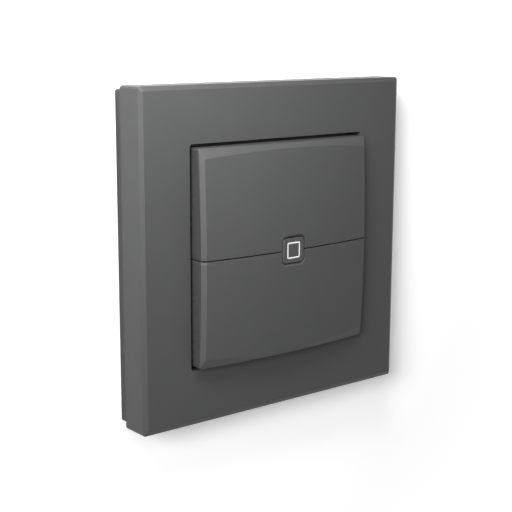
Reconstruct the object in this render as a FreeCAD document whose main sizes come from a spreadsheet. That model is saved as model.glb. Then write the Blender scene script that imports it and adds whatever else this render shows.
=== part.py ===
import FreeCAD, Part

import math
import os

import Sketcher

# Wireless remote wall switch, in millimetres.
# The wall is the plane y = 0 and the front faces -Y. X runs to the right, Z runs up.
# The origin is the centre of the face that lies on the wall.
# A "level" is a distance in front of the wall, so y = -level.

doc = FreeCAD.newDocument("wall_switch")
sheet = doc.addObject("Spreadsheet::Sheet", "sizes")


# Driving dimensions
class Size:
    """A length that knows its value now and the sheet formula that drives it."""

    def __init__(self, value, formula):
        self.value = value
        self.formula = formula

    def joined(self, other, sign, result):
        return Size(result, f"({self.formula} {sign} {formula_of(other)})")

    def __add__(self, other):
        return self.joined(other, "+", self.value + value_of(other))

    def __sub__(self, other):
        return self.joined(other, "-", self.value - value_of(other))

    def __mul__(self, other):
        return self.joined(other, "*", self.value * value_of(other))

    def __truediv__(self, other):
        return self.joined(other, "/", self.value / value_of(other))

    def __radd__(self, other):
        return Size(other + self.value, f"({other} + {self.formula})")

    def __rsub__(self, other):
        return Size(other - self.value, f"({other} - {self.formula})")

    def __rmul__(self, other):
        return Size(other * self.value, f"({other} * {self.formula})")

    def __neg__(self):
        return Size(-self.value, f"(-1 * {self.formula})")


def value_of(length):
    return length.value if isinstance(length, Size) else float(length)


def formula_of(length):
    return length.formula if isinstance(length, Size) else str(length)


sheet_rows = []


def size(alias, value, note):
    """Writes one driving dimension into the sheet and returns it."""
    row = len(sheet_rows) + 1
    sheet_rows.append(alias)
    sheet.set(f"A{row}", alias)
    sheet.set(f"B{row}", str(value))
    sheet.set(f"C{row}", note)
    sheet.setAlias(f"B{row}", alias)
    return Size(float(value), f"sizes.{alias}")


# Cover frame
frame_width = size("frame_width", 83.0, "cover frame, square")
frame_depth = size("frame_depth", 8.12, "cover frame, back edge to front face")
frame_corner = size("frame_corner", 0.8, "radius of the upright corners")
frame_bevel_width = size("frame_bevel_width", 1.1, "front bevel, seen from the front")
frame_bevel_depth = size("frame_bevel_depth", 0.68, "front bevel, seen from the side")
frame_front = size("frame_front", 2.4, "thickness of the front wall")
frame_side = size("frame_side", 2.0, "thickness of the side walls")
opening_width = size("opening_width", 55.2, "window for the keys, square")
opening_corner = size("opening_corner", 0.7, "radius of the window's corners")
collar_depth = size("collar_depth", 5.0, "depth of the window's collar")
collar_wall = size("collar_wall", 1.3, "thickness of the window's collar")
rib_thickness = size("rib_thickness", 1.0, "ribs behind the front wall")
rib_depth = size("rib_depth", 2.0, "how far the ribs stand back")
ledge_back = size("ledge_back", 5.2, "back of the ledges that the plate's hooks hold")
ledge_front = size("ledge_front", 5.9, "front of those ledges")
ledge_reach = size("ledge_reach", 0.7, "how far the ledges stand in")
ledge_length = size("ledge_length", 12.0, "length of the ledges")

# Wall plate
plate_width = size("plate_width", 81.0, "wall plate, square")
plate_depth = size("plate_depth", 3.5, "wall plate, wall to the frame's back edge")
plate_corner = size("plate_corner", 0.6, "radius of the plate's corners")
plate_floor = size("plate_floor", 1.6, "thickness of the plate's floor")
plate_rim = size("plate_rim", 3.0, "width of the rim that carries the frame")
screw_pitch = size("screw_pitch", 60.0, "pitch of the holes of a flush box")
slot_width = size("slot_width", 4.2, "width of the screw slots")
slot_length = size("slot_length", 8.0, "end to end length of the screw slots")
lip_height = size("lip_height", 1.5, "lip that centres the frame")
lip_thickness = size("lip_thickness", 1.7, "thickness of that lip")
hook_length = size("hook_length", 9.0, "length of the hooks for the frame")
hook_thickness = size("hook_thickness", 1.1, "thickness of those hooks")
fence_thickness = size("fence_thickness", 1.2, "fence round the transmitter")
fence_start = size("fence_start", 8.0, "start of the fence, from the middle")
fence_end = size("fence_end", 20.0, "end of the fence, from the middle")
catch_height = size("catch_height", 12.0, "catches for the transmitter, above and below the middle")
catch_length = size("catch_length", 8.0, "length of the catches")

# Keys
key_gap = size("key_gap", 0.8, "gap between the keys and the window")
key_rise = size("key_rise", 5.64, "middle of the keys, in front of the frame")
bow_across = size("bow_across", 218.0, "radius of the keys' front, left to right")
bow_upright = size("bow_upright", 438.0, "radius of the keys' front, top to bottom")
key_chamfer = size("key_chamfer", 1.0, "chamfer at the left and right edges")
bevel_middle = size("bevel_middle", 1.22, "height of the arched bevel at mid-width")
bevel_end = size("bevel_end", 2.6, "height of the arched bevel at the corners")
key_corner = size("key_corner", 0.6, "radius of the keys' upright corners")
key_split = size("key_split", 0.3, "gap between the two keys")
key_wall = size("key_wall", 1.5, "thickness of the keys' side walls")
key_skin = size("key_skin", 1.7, "thickness of the keys' front")
key_skirt = size("key_skirt", 9.9, "level of the keys' back edge")
inner_skirt = size("inner_skirt", 13.4, "level of the back edge along the gap between the keys")
hinge_height = size("hinge_height", 3.0, "hinge axes, above and below the middle")
hinge_level = size("hinge_level", 11.2, "level of the hinge axes")
axle_radius = size("axle_radius", 1.0, "stub axles of the keys")
switch_height = size("switch_height", 15.0, "outer push switches, above and below the middle")
key_hook_inner = size("key_hook_inner", 23.4, "inner face of the keys' hooks")
key_hook_across = size("key_hook_across", 12.0, "hooks of the keys, left and right of the middle")
key_hook_width = size("key_hook_width", 4.0, "width of the keys' hooks")
key_hook_thickness = size("key_hook_thickness", 1.2, "thickness of the keys' hooks")
key_post_radius = size("key_post_radius", 1.7, "posts over the push switches")
key_rib_thickness = size("key_rib_thickness", 1.0, "ribs behind the keys' front")

# Stop key
stop_width = size("stop_width", 7.2, "stop key, left to right")
stop_height = size("stop_height", 6.4, "stop key, top to bottom")
stop_corner = size("stop_corner", 1.05, "corner radius of the stop key")
stop_gap = size("stop_gap", 0.22, "gap between the stop key and the keys")
symbol_width = size("symbol_width", 4.3, "white square outline, outside")
symbol_line = size("symbol_line", 0.5, "width of its line")
symbol_depth = size("symbol_depth", 0.4, "depth of its groove")
stop_skirt = size("stop_skirt", 12.2, "level of the stop key's back edge")
stop_wall = size("stop_wall", 0.8, "thickness of the stop key's side walls")
stop_skin = size("stop_skin", 1.6, "thickness of the stop key's front")
lug_width = size("lug_width", 2.0, "legs and lugs of the stop key")
lug_front = size("lug_front", 10.1, "level of the front of the stop key's lugs")
lug_depth = size("lug_depth", 0.6, "lugs of the stop key, back to front")

# Transmitter
module_width = size("module_width", 54.2, "transmitter, square")
module_corner = size("module_corner", 1.5, "radius of its corners")
module_wall = size("module_wall", 1.3, "thickness of its side walls")
housing_floor = size("housing_floor", 1.1, "thickness of the rear housing's floor")
joint_level = size("joint_level", 6.3, "level where the two shells meet")
board_level = size("board_level", 6.8, "level of the board's back face")
board_thickness = size("board_thickness", 1.0, "circuit board")
carrier_front = size("carrier_front", 9.0, "level of the carrier's front face")
carrier_plate = size("carrier_plate", 1.0, "thickness of the carrier's plate")
ear_level = size("ear_level", 13.0, "level of the top of the bearing ears")
boss_pitch = size("boss_pitch", 45.0, "pitch of the screws that close the transmitter")
boss_radius = size("boss_radius", 2.6, "screw bosses")
screw_radius = size("screw_radius", 0.98, "thread of the closing screws")
cell_radius = size("cell_radius", 10.0, "coin cell")
cell_thickness = size("cell_thickness", 3.2, "coin cell")
bay_radius = size("bay_radius", 10.35, "inside of the battery bay")
door_radius = size("door_radius", 11.05, "rim of the battery door")
switch_width = size("switch_width", 5.2, "push switch, square")
switch_body_depth = size("switch_body_depth", 3.0, "push switch, without its plunger")
plunger_radius = size("plunger_radius", 1.35, "plunger of a push switch")
plunger_front = size("plunger_front", 11.95, "level of the plungers' front")
contact_sheet = size("contact_sheet", 0.2, "sheet of the contact springs")
notch_back = size("notch_back", 3.5, "back of the notches for the plate's catches")
notch_front = size("notch_front", 4.7, "front of those notches")
post_across = size("post_across", 23.0, "board posts, left and right of the middle")
post_up = size("post_up", 9.0, "board posts, above and below the middle")
post_width = size("post_width", 2.6, "board posts, square")
pin_radius = size("pin_radius", 0.7, "pins that place the board")
ear_inner = size("ear_inner", 22.6, "inner face of the bearing ears")
ear_thickness = size("ear_thickness", 1.6, "thickness of the bearing ears")
ear_overhang = size("ear_overhang", 2.4, "ears, beyond the hinge axes")

# Components on the board
shield_across = size("shield_across", -18.5, "radio shield, middle from the left or right")
shield_up = size("shield_up", 14.9, "radio shield, height of its middle")
shield_width = size("shield_width", 11.0, "radio shield, left to right")
shield_height = size("shield_height", 7.4, "radio shield, top to bottom")
shield_depth = size("shield_depth", 2.0, "radio shield, off the board")
chip_across = size("chip_across", 16.5, "processor, middle from the left or right")
chip_up = size("chip_up", 14.0, "processor, height of its middle")
chip_width = size("chip_width", 6.0, "processor, square")
chip_depth = size("chip_depth", 0.9, "processor, off the board")
lead_pitch = size("lead_pitch", 1.2, "pitch of the processor's leads")
lead_span = size("lead_span", 7.8, "processor, over the ends of its leads")
crystal_across = size("crystal_across", 17.5, "quartz crystal, middle from the left or right")
crystal_up = size("crystal_up", 6.5, "quartz crystal, height of its middle")
crystal_width = size("crystal_width", 4.6, "quartz crystal, left to right")
crystal_height = size("crystal_height", 1.8, "quartz crystal, top to bottom")
crystal_depth = size("crystal_depth", 1.2, "quartz crystal, off the board")
led_across = size("led_across", 3.25, "status light, middle from the left or right")
led_up = size("led_up", 2.25, "status light, height of its middle")
led_height = size("led_height", 0.5, "status light, top to bottom")
led_layer = size("led_layer", 0.25, "base and lens of the status light, each")
strip_left = size("strip_left", -16.0, "soldered end of the antenna strip")
strip_right = size("strip_right", 17.0, "free end of the antenna strip")
strip_up = size("strip_up", 20.6, "height of the antenna strip")
strip_bend = size("strip_bend", 0.8, "bend of the antenna strip")
strip_rise = size("strip_rise", 1.6, "antenna strip, off the board")
screw_head_radius = size("screw_head_radius", 1.9, "head of the closing screws")
screw_head_depth = size("screw_head_depth", 1.3, "head of the closing screws")

# Places that follow from them
frame_front_level = plate_depth + frame_depth
frame_rib_level = frame_front_level - frame_front
key_half = opening_width / 2 - key_gap
key_apex = frame_front_level + key_rise
module_back = plate_floor
housing_inside = module_back + housing_floor
board_front = board_level + board_thickness
door_ledge = module_back + housing_floor / 2
cell_back = housing_inside + 0.15
cell_front = cell_back + cell_thickness
boss_place = boss_pitch / 2
switch_front = board_front + switch_body_depth
module_inside = module_width / 2 - module_wall

BEYOND = 1.0  # how far a cutting profile runs past what it cuts
PLAY = 0.3  # between parts that are pushed together
SPRING_WIDTH = 3.6  # of the two contact springs
QUARTER_TURN = 90.0


# Modelling helpers
def bind(thing, path, length):
    """Sets a property and drives it from the sheet."""
    if isinstance(length, Size):
        thing.setExpression(path, length.formula)


def new_body(label):
    made = doc.addObject("PartDesign::Body", label)
    made.Label = label
    return made


def new_feature(body, kind, label):
    made = body.newObject(kind, label)
    body.Tip = made
    return made


def origin_feature(body, role):
    return next(f for f in body.Origin.OriginFeatures if f.Role == role)


def new_sketch(body, label, role, offset):
    made = body.newObject("Sketcher::SketchObject", label)
    made.AttachmentSupport = (origin_feature(body, role), [""])
    made.MapMode = "FlatFace"
    made.AttachmentOffset = FreeCAD.Placement(FreeCAD.Vector(0, 0, value_of(offset)), FreeCAD.Rotation())
    bind(made, "AttachmentOffset.Base.z", offset)
    return made


def wall_sketch(body, label, level):
    """A sketch parallel to the wall: its axes are X and Z, and a pad from it grows to the front."""
    return new_sketch(body, label, "XZ_Plane", level)


def side_sketch(body, label, offset=0.0):
    """A sketch seen from the right: its axes are Y and Z, so a level goes in as a negative number."""
    return new_sketch(body, label, "YZ_Plane", offset)


def plan_sketch(body, label, offset=0.0):
    """A sketch seen from above: its axes are X and Y."""
    return new_sketch(body, label, "XY_Plane", offset)


def place_point(sketch, geometry, end, along, up):
    """Ties a point of a sketch to the sketch's origin by two driven distances."""
    for kind, axis, length in (("DistanceX", -2, along), ("DistanceY", -1, up)):
        if isinstance(length, Size) or float(length) != 0.0:
            index = sketch.addConstraint(Sketcher.Constraint(kind, -1, 1, geometry, end, value_of(length)))
            bind(sketch, f"Constraints[{index}]", length)
        else:
            sketch.addConstraint(Sketcher.Constraint("PointOnObject", geometry, end, axis))


def point(along, up):
    return FreeCAD.Vector(value_of(along), value_of(up), 0)


def outline(sketch, corners):
    """A closed outline of straight lines through the corners."""
    first = sketch.GeometryCount
    count = len(corners)
    for index, corner in enumerate(corners):
        following = corners[(index + 1) % count]
        sketch.addGeometry(Part.LineSegment(point(*corner), point(*following)), False)
    for index, corner in enumerate(corners):
        previous = first + (index - 1) % count
        sketch.addConstraint(Sketcher.Constraint("Coincident", previous, 2, first + index, 1))
        place_point(sketch, first + index, 1, *corner)


def rectangle(sketch, left, right, bottom, top):
    outline(sketch, [(left, bottom), (right, bottom), (right, top), (left, top)])


def centred_rectangle(sketch, along, up, width, height):
    rectangle(sketch, along - width / 2, along + width / 2, up - height / 2, up + height / 2)


def circle(sketch, along, up, radius):
    round_line = Part.Circle(point(along, up), FreeCAD.Vector(0, 0, 1), value_of(radius))
    index = sketch.addGeometry(round_line, False)
    place_point(sketch, index, 3, along, up)
    driven = sketch.addConstraint(Sketcher.Constraint("Radius", index, value_of(radius)))
    bind(sketch, f"Constraints[{driven}]", radius)


def arc_between(sketch, centre, radius, start_degrees, end_degrees):
    carrier = Part.Circle(point(*centre), FreeCAD.Vector(0, 0, 1), value_of(radius))
    arc = Part.ArcOfCircle(carrier, math.radians(start_degrees), math.radians(end_degrees))
    return sketch.addGeometry(arc, False)


def rounded_rectangle(sketch, left, right, bottom, top, radius):
    """Four sides and four tangent corner arcs of one radius."""
    first = sketch.GeometryCount
    r = value_of(radius)
    x0, x1, z0, z1 = (value_of(v) for v in (left, right, bottom, top))
    sides = (
        ((x0 + r, z0), (x1 - r, z0)),
        ((x1, z0 + r), (x1, z1 - r)),
        ((x1 - r, z1), (x0 + r, z1)),
        ((x0, z1 - r), (x0, z0 + r)),
    )
    centres = ((x1 - r, z0 + r), (x1 - r, z1 - r), (x0 + r, z1 - r), (x0 + r, z0 + r))
    for turn, (side, centre) in enumerate(zip(sides, centres)):
        sketch.addGeometry(Part.LineSegment(point(*side[0]), point(*side[1])), False)
        start = (turn - 1) * QUARTER_TURN
        arc_between(sketch, centre, r, start, start + QUARTER_TURN)
    for turn in range(4):
        line = first + 2 * turn
        following = first + (2 * turn + 2) % 8
        sketch.addConstraint(Sketcher.Constraint("Tangent", line, 2, line + 1, 1))
        sketch.addConstraint(Sketcher.Constraint("Tangent", line + 1, 2, following, 1))
        sketch.addConstraint(Sketcher.Constraint("Vertical" if turn % 2 else "Horizontal", line))
        if turn:
            sketch.addConstraint(Sketcher.Constraint("Equal", first + 1, line + 1))
    driven = sketch.addConstraint(Sketcher.Constraint("Radius", first + 1, r))
    bind(sketch, f"Constraints[{driven}]", radius)
    for line, length in enumerate((bottom, right, top, left)):
        kind = "DistanceX" if line % 2 else "DistanceY"
        index = sketch.addConstraint(Sketcher.Constraint(kind, -1, 1, first + 2 * line, 1, value_of(length)))
        bind(sketch, f"Constraints[{index}]", length)


def rounded_square(sketch, width, radius):
    rounded_rectangle(sketch, -(width / 2), width / 2, -(width / 2), width / 2, radius)


def slot(sketch, along, up, length, width, upright):
    """A round-ended slot, end to end as long as stated."""
    reach = (value_of(length) - value_of(width)) / 2
    half = value_of(width) / 2
    a, u = value_of(along), value_of(up)
    first = sketch.GeometryCount
    if upright:
        ends = (((a, u + reach), 0.0, 180.0), ((a, u - reach), 180.0, 360.0))
        lines = (
            ((a - half, u + reach), (a - half, u - reach)),
            ((a + half, u - reach), (a + half, u + reach)),
        )
    else:
        ends = (((a - reach, u), 90.0, 270.0), ((a + reach, u), 270.0, 450.0))
        lines = (
            ((a - reach, u - half), (a + reach, u - half)),
            ((a + reach, u + half), (a - reach, u + half)),
        )
    for (centre, start, end), line in zip(ends, lines):
        arc_between(sketch, centre, half, start, end)
        sketch.addGeometry(Part.LineSegment(point(*line[0]), point(*line[1])), False)
    for index in range(4):
        sketch.addConstraint(Sketcher.Constraint("Tangent", first + index, 2, first + (index + 1) % 4, 1))
    driven = sketch.addConstraint(Sketcher.Constraint("Radius", first, half))
    bind(sketch, f"Constraints[{driven}]", width / 2)
    shift = (length - width) / 2
    if upright:
        place_point(sketch, first, 3, along, up + shift)
        place_point(sketch, first + 2, 3, along, up - shift)
    else:
        place_point(sketch, first, 3, along - shift, up)
        place_point(sketch, first + 2, 3, along + shift, up)


def pad(body, sketch, length, backwards=False, centred=False):
    made = new_feature(body, "PartDesign::Pad", sketch.Label + "_pad")
    made.Profile = sketch
    made.Length = value_of(length)
    bind(made, "Length", length)
    made.Reversed = backwards
    made.Midplane = centred
    sketch.Visibility = False
    return made


def pocket(body, sketch, depth=None, forwards=False, centred=False):
    """Cuts towards the wall, or to the front if asked. No depth means through everything."""
    made = new_feature(body, "PartDesign::Pocket", sketch.Label + "_pocket")
    made.Profile = sketch
    made.Reversed = forwards
    made.Midplane = centred
    if depth is None:
        made.Type = "ThroughAll"
    else:
        made.Length = value_of(depth)
        bind(made, "Length", depth)
    return made


def revolved(body, kind, sketch, axis, angle=360.0, centred=False):
    made = new_feature(body, kind, sketch.Label + "_turned")
    made.Profile = sketch
    made.ReferenceAxis = (sketch, [axis])
    made.Angle = angle
    made.Midplane = centred
    return made


def edge_names(shape, pick):
    return [f"Edge{number}" for number, edge in enumerate(shape.Edges, 1) if pick(edge)]


def dress_edges(body, kind, label, pick, length):
    """A fillet or chamfer on the edges that pick accepts."""
    doc.recompute()
    base = body.Tip
    made = new_feature(body, kind, label)
    made.Base = (base, edge_names(base.Shape, pick))
    target = "Radius" if kind.endswith("Fillet") else "Size"
    setattr(made, target, value_of(length))
    bind(made, target, length)
    return made


def polar(body, features, count, label):
    """Repeats features about the axis that runs through the middle, square to the wall."""
    made = new_feature(body, "PartDesign::PolarPattern", label)
    made.Originals = features
    made.Axis = (origin_feature(body, "Y_Axis"), [""])
    made.Angle = 360.0
    made.Occurrences = count
    body.Tip = made
    return made


def mirrored(body, features, role, label):
    made = new_feature(body, "PartDesign::Mirrored", label)
    made.Originals = features
    made.MirrorPlane = (origin_feature(body, role), [""])
    body.Tip = made
    return made


def parallel_to_y(edge):
    if not isinstance(edge.Curve, Part.Line):
        return False
    return abs(edge.Curve.Direction.y) > 0.999


# Cover frame
def make_cover_frame():
    body = new_body("cover_frame")
    slab = wall_sketch(body, "frame_outline", plate_depth)
    rounded_square(slab, frame_width, frame_corner)
    pad(body, slab, frame_depth - frame_bevel_depth)

    bevel_back = wall_sketch(body, "bevel_back", frame_front_level - frame_bevel_depth)
    rounded_square(bevel_back, frame_width, frame_corner)
    bevel_front = wall_sketch(body, "bevel_front", frame_front_level)
    rounded_square(bevel_front, frame_width - 2 * frame_bevel_width, frame_corner / 3)
    bevel = new_feature(body, "PartDesign::AdditiveLoft", "frame_bevel")
    bevel.Profile = bevel_back
    bevel.Sections = [bevel_front]
    bevel.Ruled = True

    inside = wall_sketch(body, "frame_inside", plate_depth)
    rounded_square(inside, frame_width - 2 * frame_side, frame_corner)
    pocket(body, inside, frame_depth - frame_front, forwards=True)

    collar = wall_sketch(body, "frame_collar", frame_rib_level)
    rounded_square(collar, opening_width + 2 * collar_wall, opening_corner + collar_wall)
    pad(body, collar, collar_depth - frame_front, backwards=True)

    window = wall_sketch(body, "frame_window", frame_front_level)
    rounded_square(window, opening_width, opening_corner)
    pocket(body, window)

    ribs = wall_sketch(body, "frame_ribs", frame_rib_level)
    rib_start = opening_width / 2 + collar_wall
    rib_end = frame_width / 2 - frame_side
    for place in (-0.3, -0.1, 0.1, 0.3):
        middle = frame_width * place
        rectangle(ribs, middle - rib_thickness / 2, middle + rib_thickness / 2, rib_start, rib_end)
    side_ribs = pad(body, ribs, rib_depth, backwards=True)

    ledge = side_sketch(body, "frame_ledge")
    inner = frame_width / 2 - frame_side
    outline(
        ledge,
        [
            (-ledge_back, inner),
            (-ledge_back, inner - ledge_reach),
            (-ledge_front, inner - ledge_reach),
            (-(ledge_front + ledge_reach), inner),
        ],
    )
    ledge_pad = pad(body, ledge, ledge_length, centred=True)
    polar(body, [side_ribs, ledge_pad], 4, "frame_sides")
    return body


# Wall plate
def make_wall_plate():
    body = new_body("wall_plate")
    slab = wall_sketch(body, "plate_outline", 0.0)
    rounded_square(slab, plate_width, plate_corner)
    pad(body, slab, plate_depth)

    tray = wall_sketch(body, "plate_tray", plate_depth)
    rounded_square(tray, plate_width - 2 * plate_rim, plate_corner)
    pocket(body, tray, plate_depth - plate_floor)

    lip_outer = frame_width / 2 - frame_side - PLAY
    lip_inner = lip_outer - lip_thickness
    lip_end = lip_outer - lip_thickness * 2
    lip = wall_sketch(body, "plate_lip", plate_depth)
    rectangle(lip, hook_length, lip_end, lip_inner, lip_outer)
    rectangle(lip, -lip_end, -hook_length, lip_inner, lip_outer)
    lip_pad = pad(body, lip, lip_height)

    hook = side_sketch(body, "frame_hook")
    hook_outer = lip_inner + hook_thickness
    nose_reach = ledge_reach - 0.1
    nose_back = ledge_front + ledge_reach + 0.1
    root = plate_depth - 0.5
    outline(
        hook,
        [
            (-root, lip_inner),
            (-(nose_back + 1.4), lip_inner),
            (-(nose_back + 1.4), hook_outer - 0.1),
            (-(nose_back + 0.5), hook_outer + nose_reach),
            (-nose_back, hook_outer + nose_reach),
            (-nose_back, hook_outer),
            (-root, hook_outer),
        ],
    )
    hook_pad = pad(body, hook, hook_length, centred=True)

    screw_slot = wall_sketch(body, "screw_slot", plate_floor)
    slot(screw_slot, 0.0, screw_pitch / 2, slot_length, slot_width, upright=True)
    slot_pocket = pocket(body, screw_slot, plate_floor + BEYOND)
    polar(body, [lip_pad, hook_pad, slot_pocket], 4, "plate_sides")

    fence = wall_sketch(body, "module_fence", plate_floor)
    fence_inner = module_width / 2 + PLAY / 2
    for up in (-1, 1):
        edges = sorted_pair(fence_inner * up, (fence_inner + fence_thickness) * up)
        rectangle(fence, -fence_end, -fence_start, *edges)
        rectangle(fence, fence_start, fence_end, *edges)
    pad(body, fence, plate_floor)

    catch_inner = module_width / 2 + 0.7
    nose_inner = catch_inner - 1.3
    catch_outer = catch_inner + hook_thickness
    catch_root = plate_floor - 0.5
    catches = []
    for name, up in (("lower", -1), ("upper", 1)):
        catch = plan_sketch(body, name + "_catch", catch_height * up)
        outline(
            catch,
            [
                (catch_inner, -catch_root),
                (catch_inner, -(notch_back + 0.15)),
                (nose_inner, -(notch_back + 0.15)),
                (nose_inner, -(notch_back + 0.5)),
                (catch_inner, -(notch_front + 0.4)),
                (catch_outer, -(notch_front + 0.4)),
                (catch_outer, -catch_root),
            ],
        )
        catches.append(pad(body, catch, catch_length, centred=True))
    mirrored(body, catches, "YZ_Plane", "module_catches")
    return body


def sorted_pair(first, second):
    return (first, second) if value_of(first) < value_of(second) else (second, first)


# Transmitter shells
def make_rear_housing():
    body = new_body("rear_housing")
    slab = wall_sketch(body, "housing_outline", module_back)
    rounded_square(slab, module_width, module_corner)
    pad(body, slab, joint_level - module_back)

    inside = wall_sketch(body, "housing_inside", joint_level)
    rounded_square(inside, module_width - 2 * module_wall, module_corner)
    pocket(body, inside, joint_level - housing_inside)

    bay = wall_sketch(body, "battery_bay", housing_inside)
    rounded_square(bay, bay_radius * 2 + 2.0, module_corner * 2)
    pad(body, bay, joint_level - housing_inside - 0.2)
    bay_hollow = wall_sketch(body, "battery_bay_hollow", joint_level)
    circle(bay_hollow, 0.0, 0.0, bay_radius)
    pocket(body, bay_hollow, joint_level - module_back)
    door_rim = wall_sketch(body, "door_rim", module_back)
    circle(door_rim, 0.0, 0.0, door_radius + 0.1)
    pocket(body, door_rim, housing_floor / 2, forwards=True)
    contact_slot = wall_sketch(body, "contact_slot", joint_level)
    rectangle(contact_slot, bay_radius - 1.0, bay_radius + 2.0, -2.5, 2.5)
    pocket(body, contact_slot, joint_level - housing_inside - 0.5)

    posts = wall_sketch(body, "board_posts", housing_inside)
    pins = wall_sketch(body, "board_pins", board_level)
    for side in (-1, 1):
        centred_rectangle(posts, post_across * side, -(post_up * side), post_width, post_width)
        centred_rectangle(posts, post_across * side, post_up * side, post_width, post_width)
        circle(pins, post_across * side, post_up * side, pin_radius)
    pad(body, posts, board_level - housing_inside)
    pad(body, pins, board_thickness - 0.2)

    bosses = wall_sketch(body, "housing_bosses", housing_inside)
    for side in (-1, 1):
        circle(bosses, boss_place * side, -(boss_place * side), boss_radius)
    pad(body, bosses, joint_level - housing_inside)

    doc.recompute()
    centres = wall_sketch(body, "screw_centres", module_back)
    for side in (-1, 1):
        circle(centres, boss_place * side, -(boss_place * side), screw_radius)
    hole = new_feature(body, "PartDesign::Hole", "screw_holes")
    hole.Profile = centres
    hole.Reversed = True
    hole.DepthType = "ThroughAll"
    hole.Diameter = value_of(screw_radius) * 2 + 0.34
    bind(hole, "Diameter", screw_radius * 2 + 0.34)
    hole.HoleCutType = "Counterbore"
    hole.HoleCutDiameter = value_of(screw_head_radius) * 2 + 0.4
    bind(hole, "HoleCutDiameter", screw_head_radius * 2 + 0.4)
    hole.HoleCutDepth = value_of(screw_head_depth) + PLAY
    bind(hole, "HoleCutDepth", screw_head_depth + PLAY)

    notch = wall_sketch(body, "catch_notches", notch_back)
    reach = module_width / 2
    for up in (-1, 1):
        bottom = catch_height * up - catch_length / 2 - 0.4
        top = catch_height * up + catch_length / 2 + 0.4
        rectangle(notch, reach - 0.75, reach + BEYOND, bottom, top)
        rectangle(notch, -(reach + BEYOND), -(reach - 0.75), bottom, top)
    pocket(body, notch, notch_front - notch_back, forwards=True)
    return body


def make_carrier():
    body = new_body("carrier")
    slab = wall_sketch(body, "carrier_outline", joint_level)
    rounded_square(slab, module_width, module_corner)
    pad(body, slab, carrier_front - joint_level)

    inside = wall_sketch(body, "carrier_inside", joint_level)
    rounded_square(inside, module_width - 2 * module_wall, module_corner)
    pocket(body, inside, carrier_front - carrier_plate - joint_level, forwards=True)

    bosses = wall_sketch(body, "carrier_bosses", joint_level)
    for side in (-1, 1):
        circle(bosses, boss_place * side, -(boss_place * side), boss_radius)
    pad(body, bosses, carrier_front - carrier_plate - joint_level)
    pilots = wall_sketch(body, "pilot_holes", joint_level)
    for side in (-1, 1):
        circle(pilots, boss_place * side, -(boss_place * side), screw_radius + 0.02)
    pocket(body, pilots, carrier_front - 0.4 - joint_level, forwards=True)

    sleeve = wall_sketch(body, "stop_sleeve", carrier_front)
    sleeve_wall = ear_overhang
    centred_rectangle(sleeve, 0.0, 0.0, stop_width + sleeve_wall, stop_height + sleeve_wall)
    pad(body, sleeve, ear_level - carrier_front)
    sleeve_hollow = wall_sketch(body, "stop_sleeve_hollow", ear_level)
    centred_rectangle(sleeve_hollow, 0.0, 0.0, stop_width + 0.5, stop_height + 0.5)
    pocket(body, sleeve_hollow)
    lug_window = wall_sketch(body, "lug_windows", carrier_front)
    centred_rectangle(lug_window, 0.0, 0.0, stop_width + 4.0, lug_width + 0.6)
    pocket(body, lug_window, lug_front + 0.1 - carrier_front, forwards=True)

    windows = wall_sketch(body, "switch_windows", carrier_front)
    for up in (-1, 1):
        centred_rectangle(windows, 0.0, switch_height * up, switch_width + 0.6, switch_width + 0.6)
    pocket(body, windows)

    hook_slots = wall_sketch(body, "key_hook_slots", carrier_front)
    for across in (-1, 1):
        for up in (-1, 1):
            middle = key_hook_across * across
            edges = sorted_pair(
                (key_hook_inner - 0.25) * up,
                (key_hook_inner + key_hook_thickness + 0.25) * up,
            )
            half = key_hook_width / 2 + PLAY
            rectangle(hook_slots, middle - half, middle + half, *edges)
    pocket(body, hook_slots, carrier_plate + 0.2)

    ear = side_sketch(body, "bearing_ear", ear_inner)
    ear_half = hinge_height + ear_overhang
    ear_cut = 1.0
    ear_root = carrier_front - carrier_plate / 2
    outline(
        ear,
        [
            (-ear_root, -ear_half),
            (-(ear_level - ear_cut), -ear_half),
            (-ear_level, -(ear_half - ear_cut)),
            (-ear_level, ear_half - ear_cut),
            (-(ear_level - ear_cut), ear_half),
            (-ear_root, ear_half),
        ],
    )
    ear_pad = pad(body, ear, ear_thickness)
    bores = side_sketch(body, "bearing_bores", ear_inner)
    entries = side_sketch(body, "bearing_entries", ear_inner)
    for up in (-1, 1):
        circle(bores, -hinge_level, hinge_height * up, axle_radius + 0.05)
        middle = hinge_height * up
        rectangle(entries, -(ear_level + BEYOND), -hinge_level, middle - 0.8, middle + 0.8)
    bore_pocket = pocket(body, bores, ear_thickness, forwards=True)
    entry_pocket = pocket(body, entries, ear_thickness, forwards=True)
    mirrored(body, [ear_pad, bore_pocket, entry_pocket], "YZ_Plane", "bearing_ears")
    return body


def make_battery_door():
    body = new_body("battery_door")
    rim = wall_sketch(body, "door_disc", module_back)
    circle(rim, 0.0, 0.0, door_radius)
    pad(body, rim, housing_floor / 2)
    plug = wall_sketch(body, "door_plug", door_ledge)
    circle(plug, 0.0, 0.0, bay_radius - PLAY / 2)
    pad(body, plug, cell_back - door_ledge)
    coin_slot = wall_sketch(body, "coin_slot", module_back)
    slot(coin_slot, 0.0, 0.0, door_radius * 1.3, plate_floor, upright=False)
    pocket(body, coin_slot, housing_floor * 0.7, forwards=True)
    return body


# Coin cell and its contacts
def make_coin_cell():
    body = new_body("coin_cell")
    profile = side_sketch(body, "cell_profile")
    rim_width = 1.2
    rim_level = cell_front - 0.3
    outline(
        profile,
        [
            (-cell_back, 0.0),
            (-cell_back, cell_radius),
            (-rim_level, cell_radius),
            (-rim_level, cell_radius - rim_width),
            (-cell_front, cell_radius - rim_width),
            (-cell_front, 0.0),
        ],
    )
    revolved(body, "PartDesign::Revolution", profile, "H_Axis")
    return body


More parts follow.
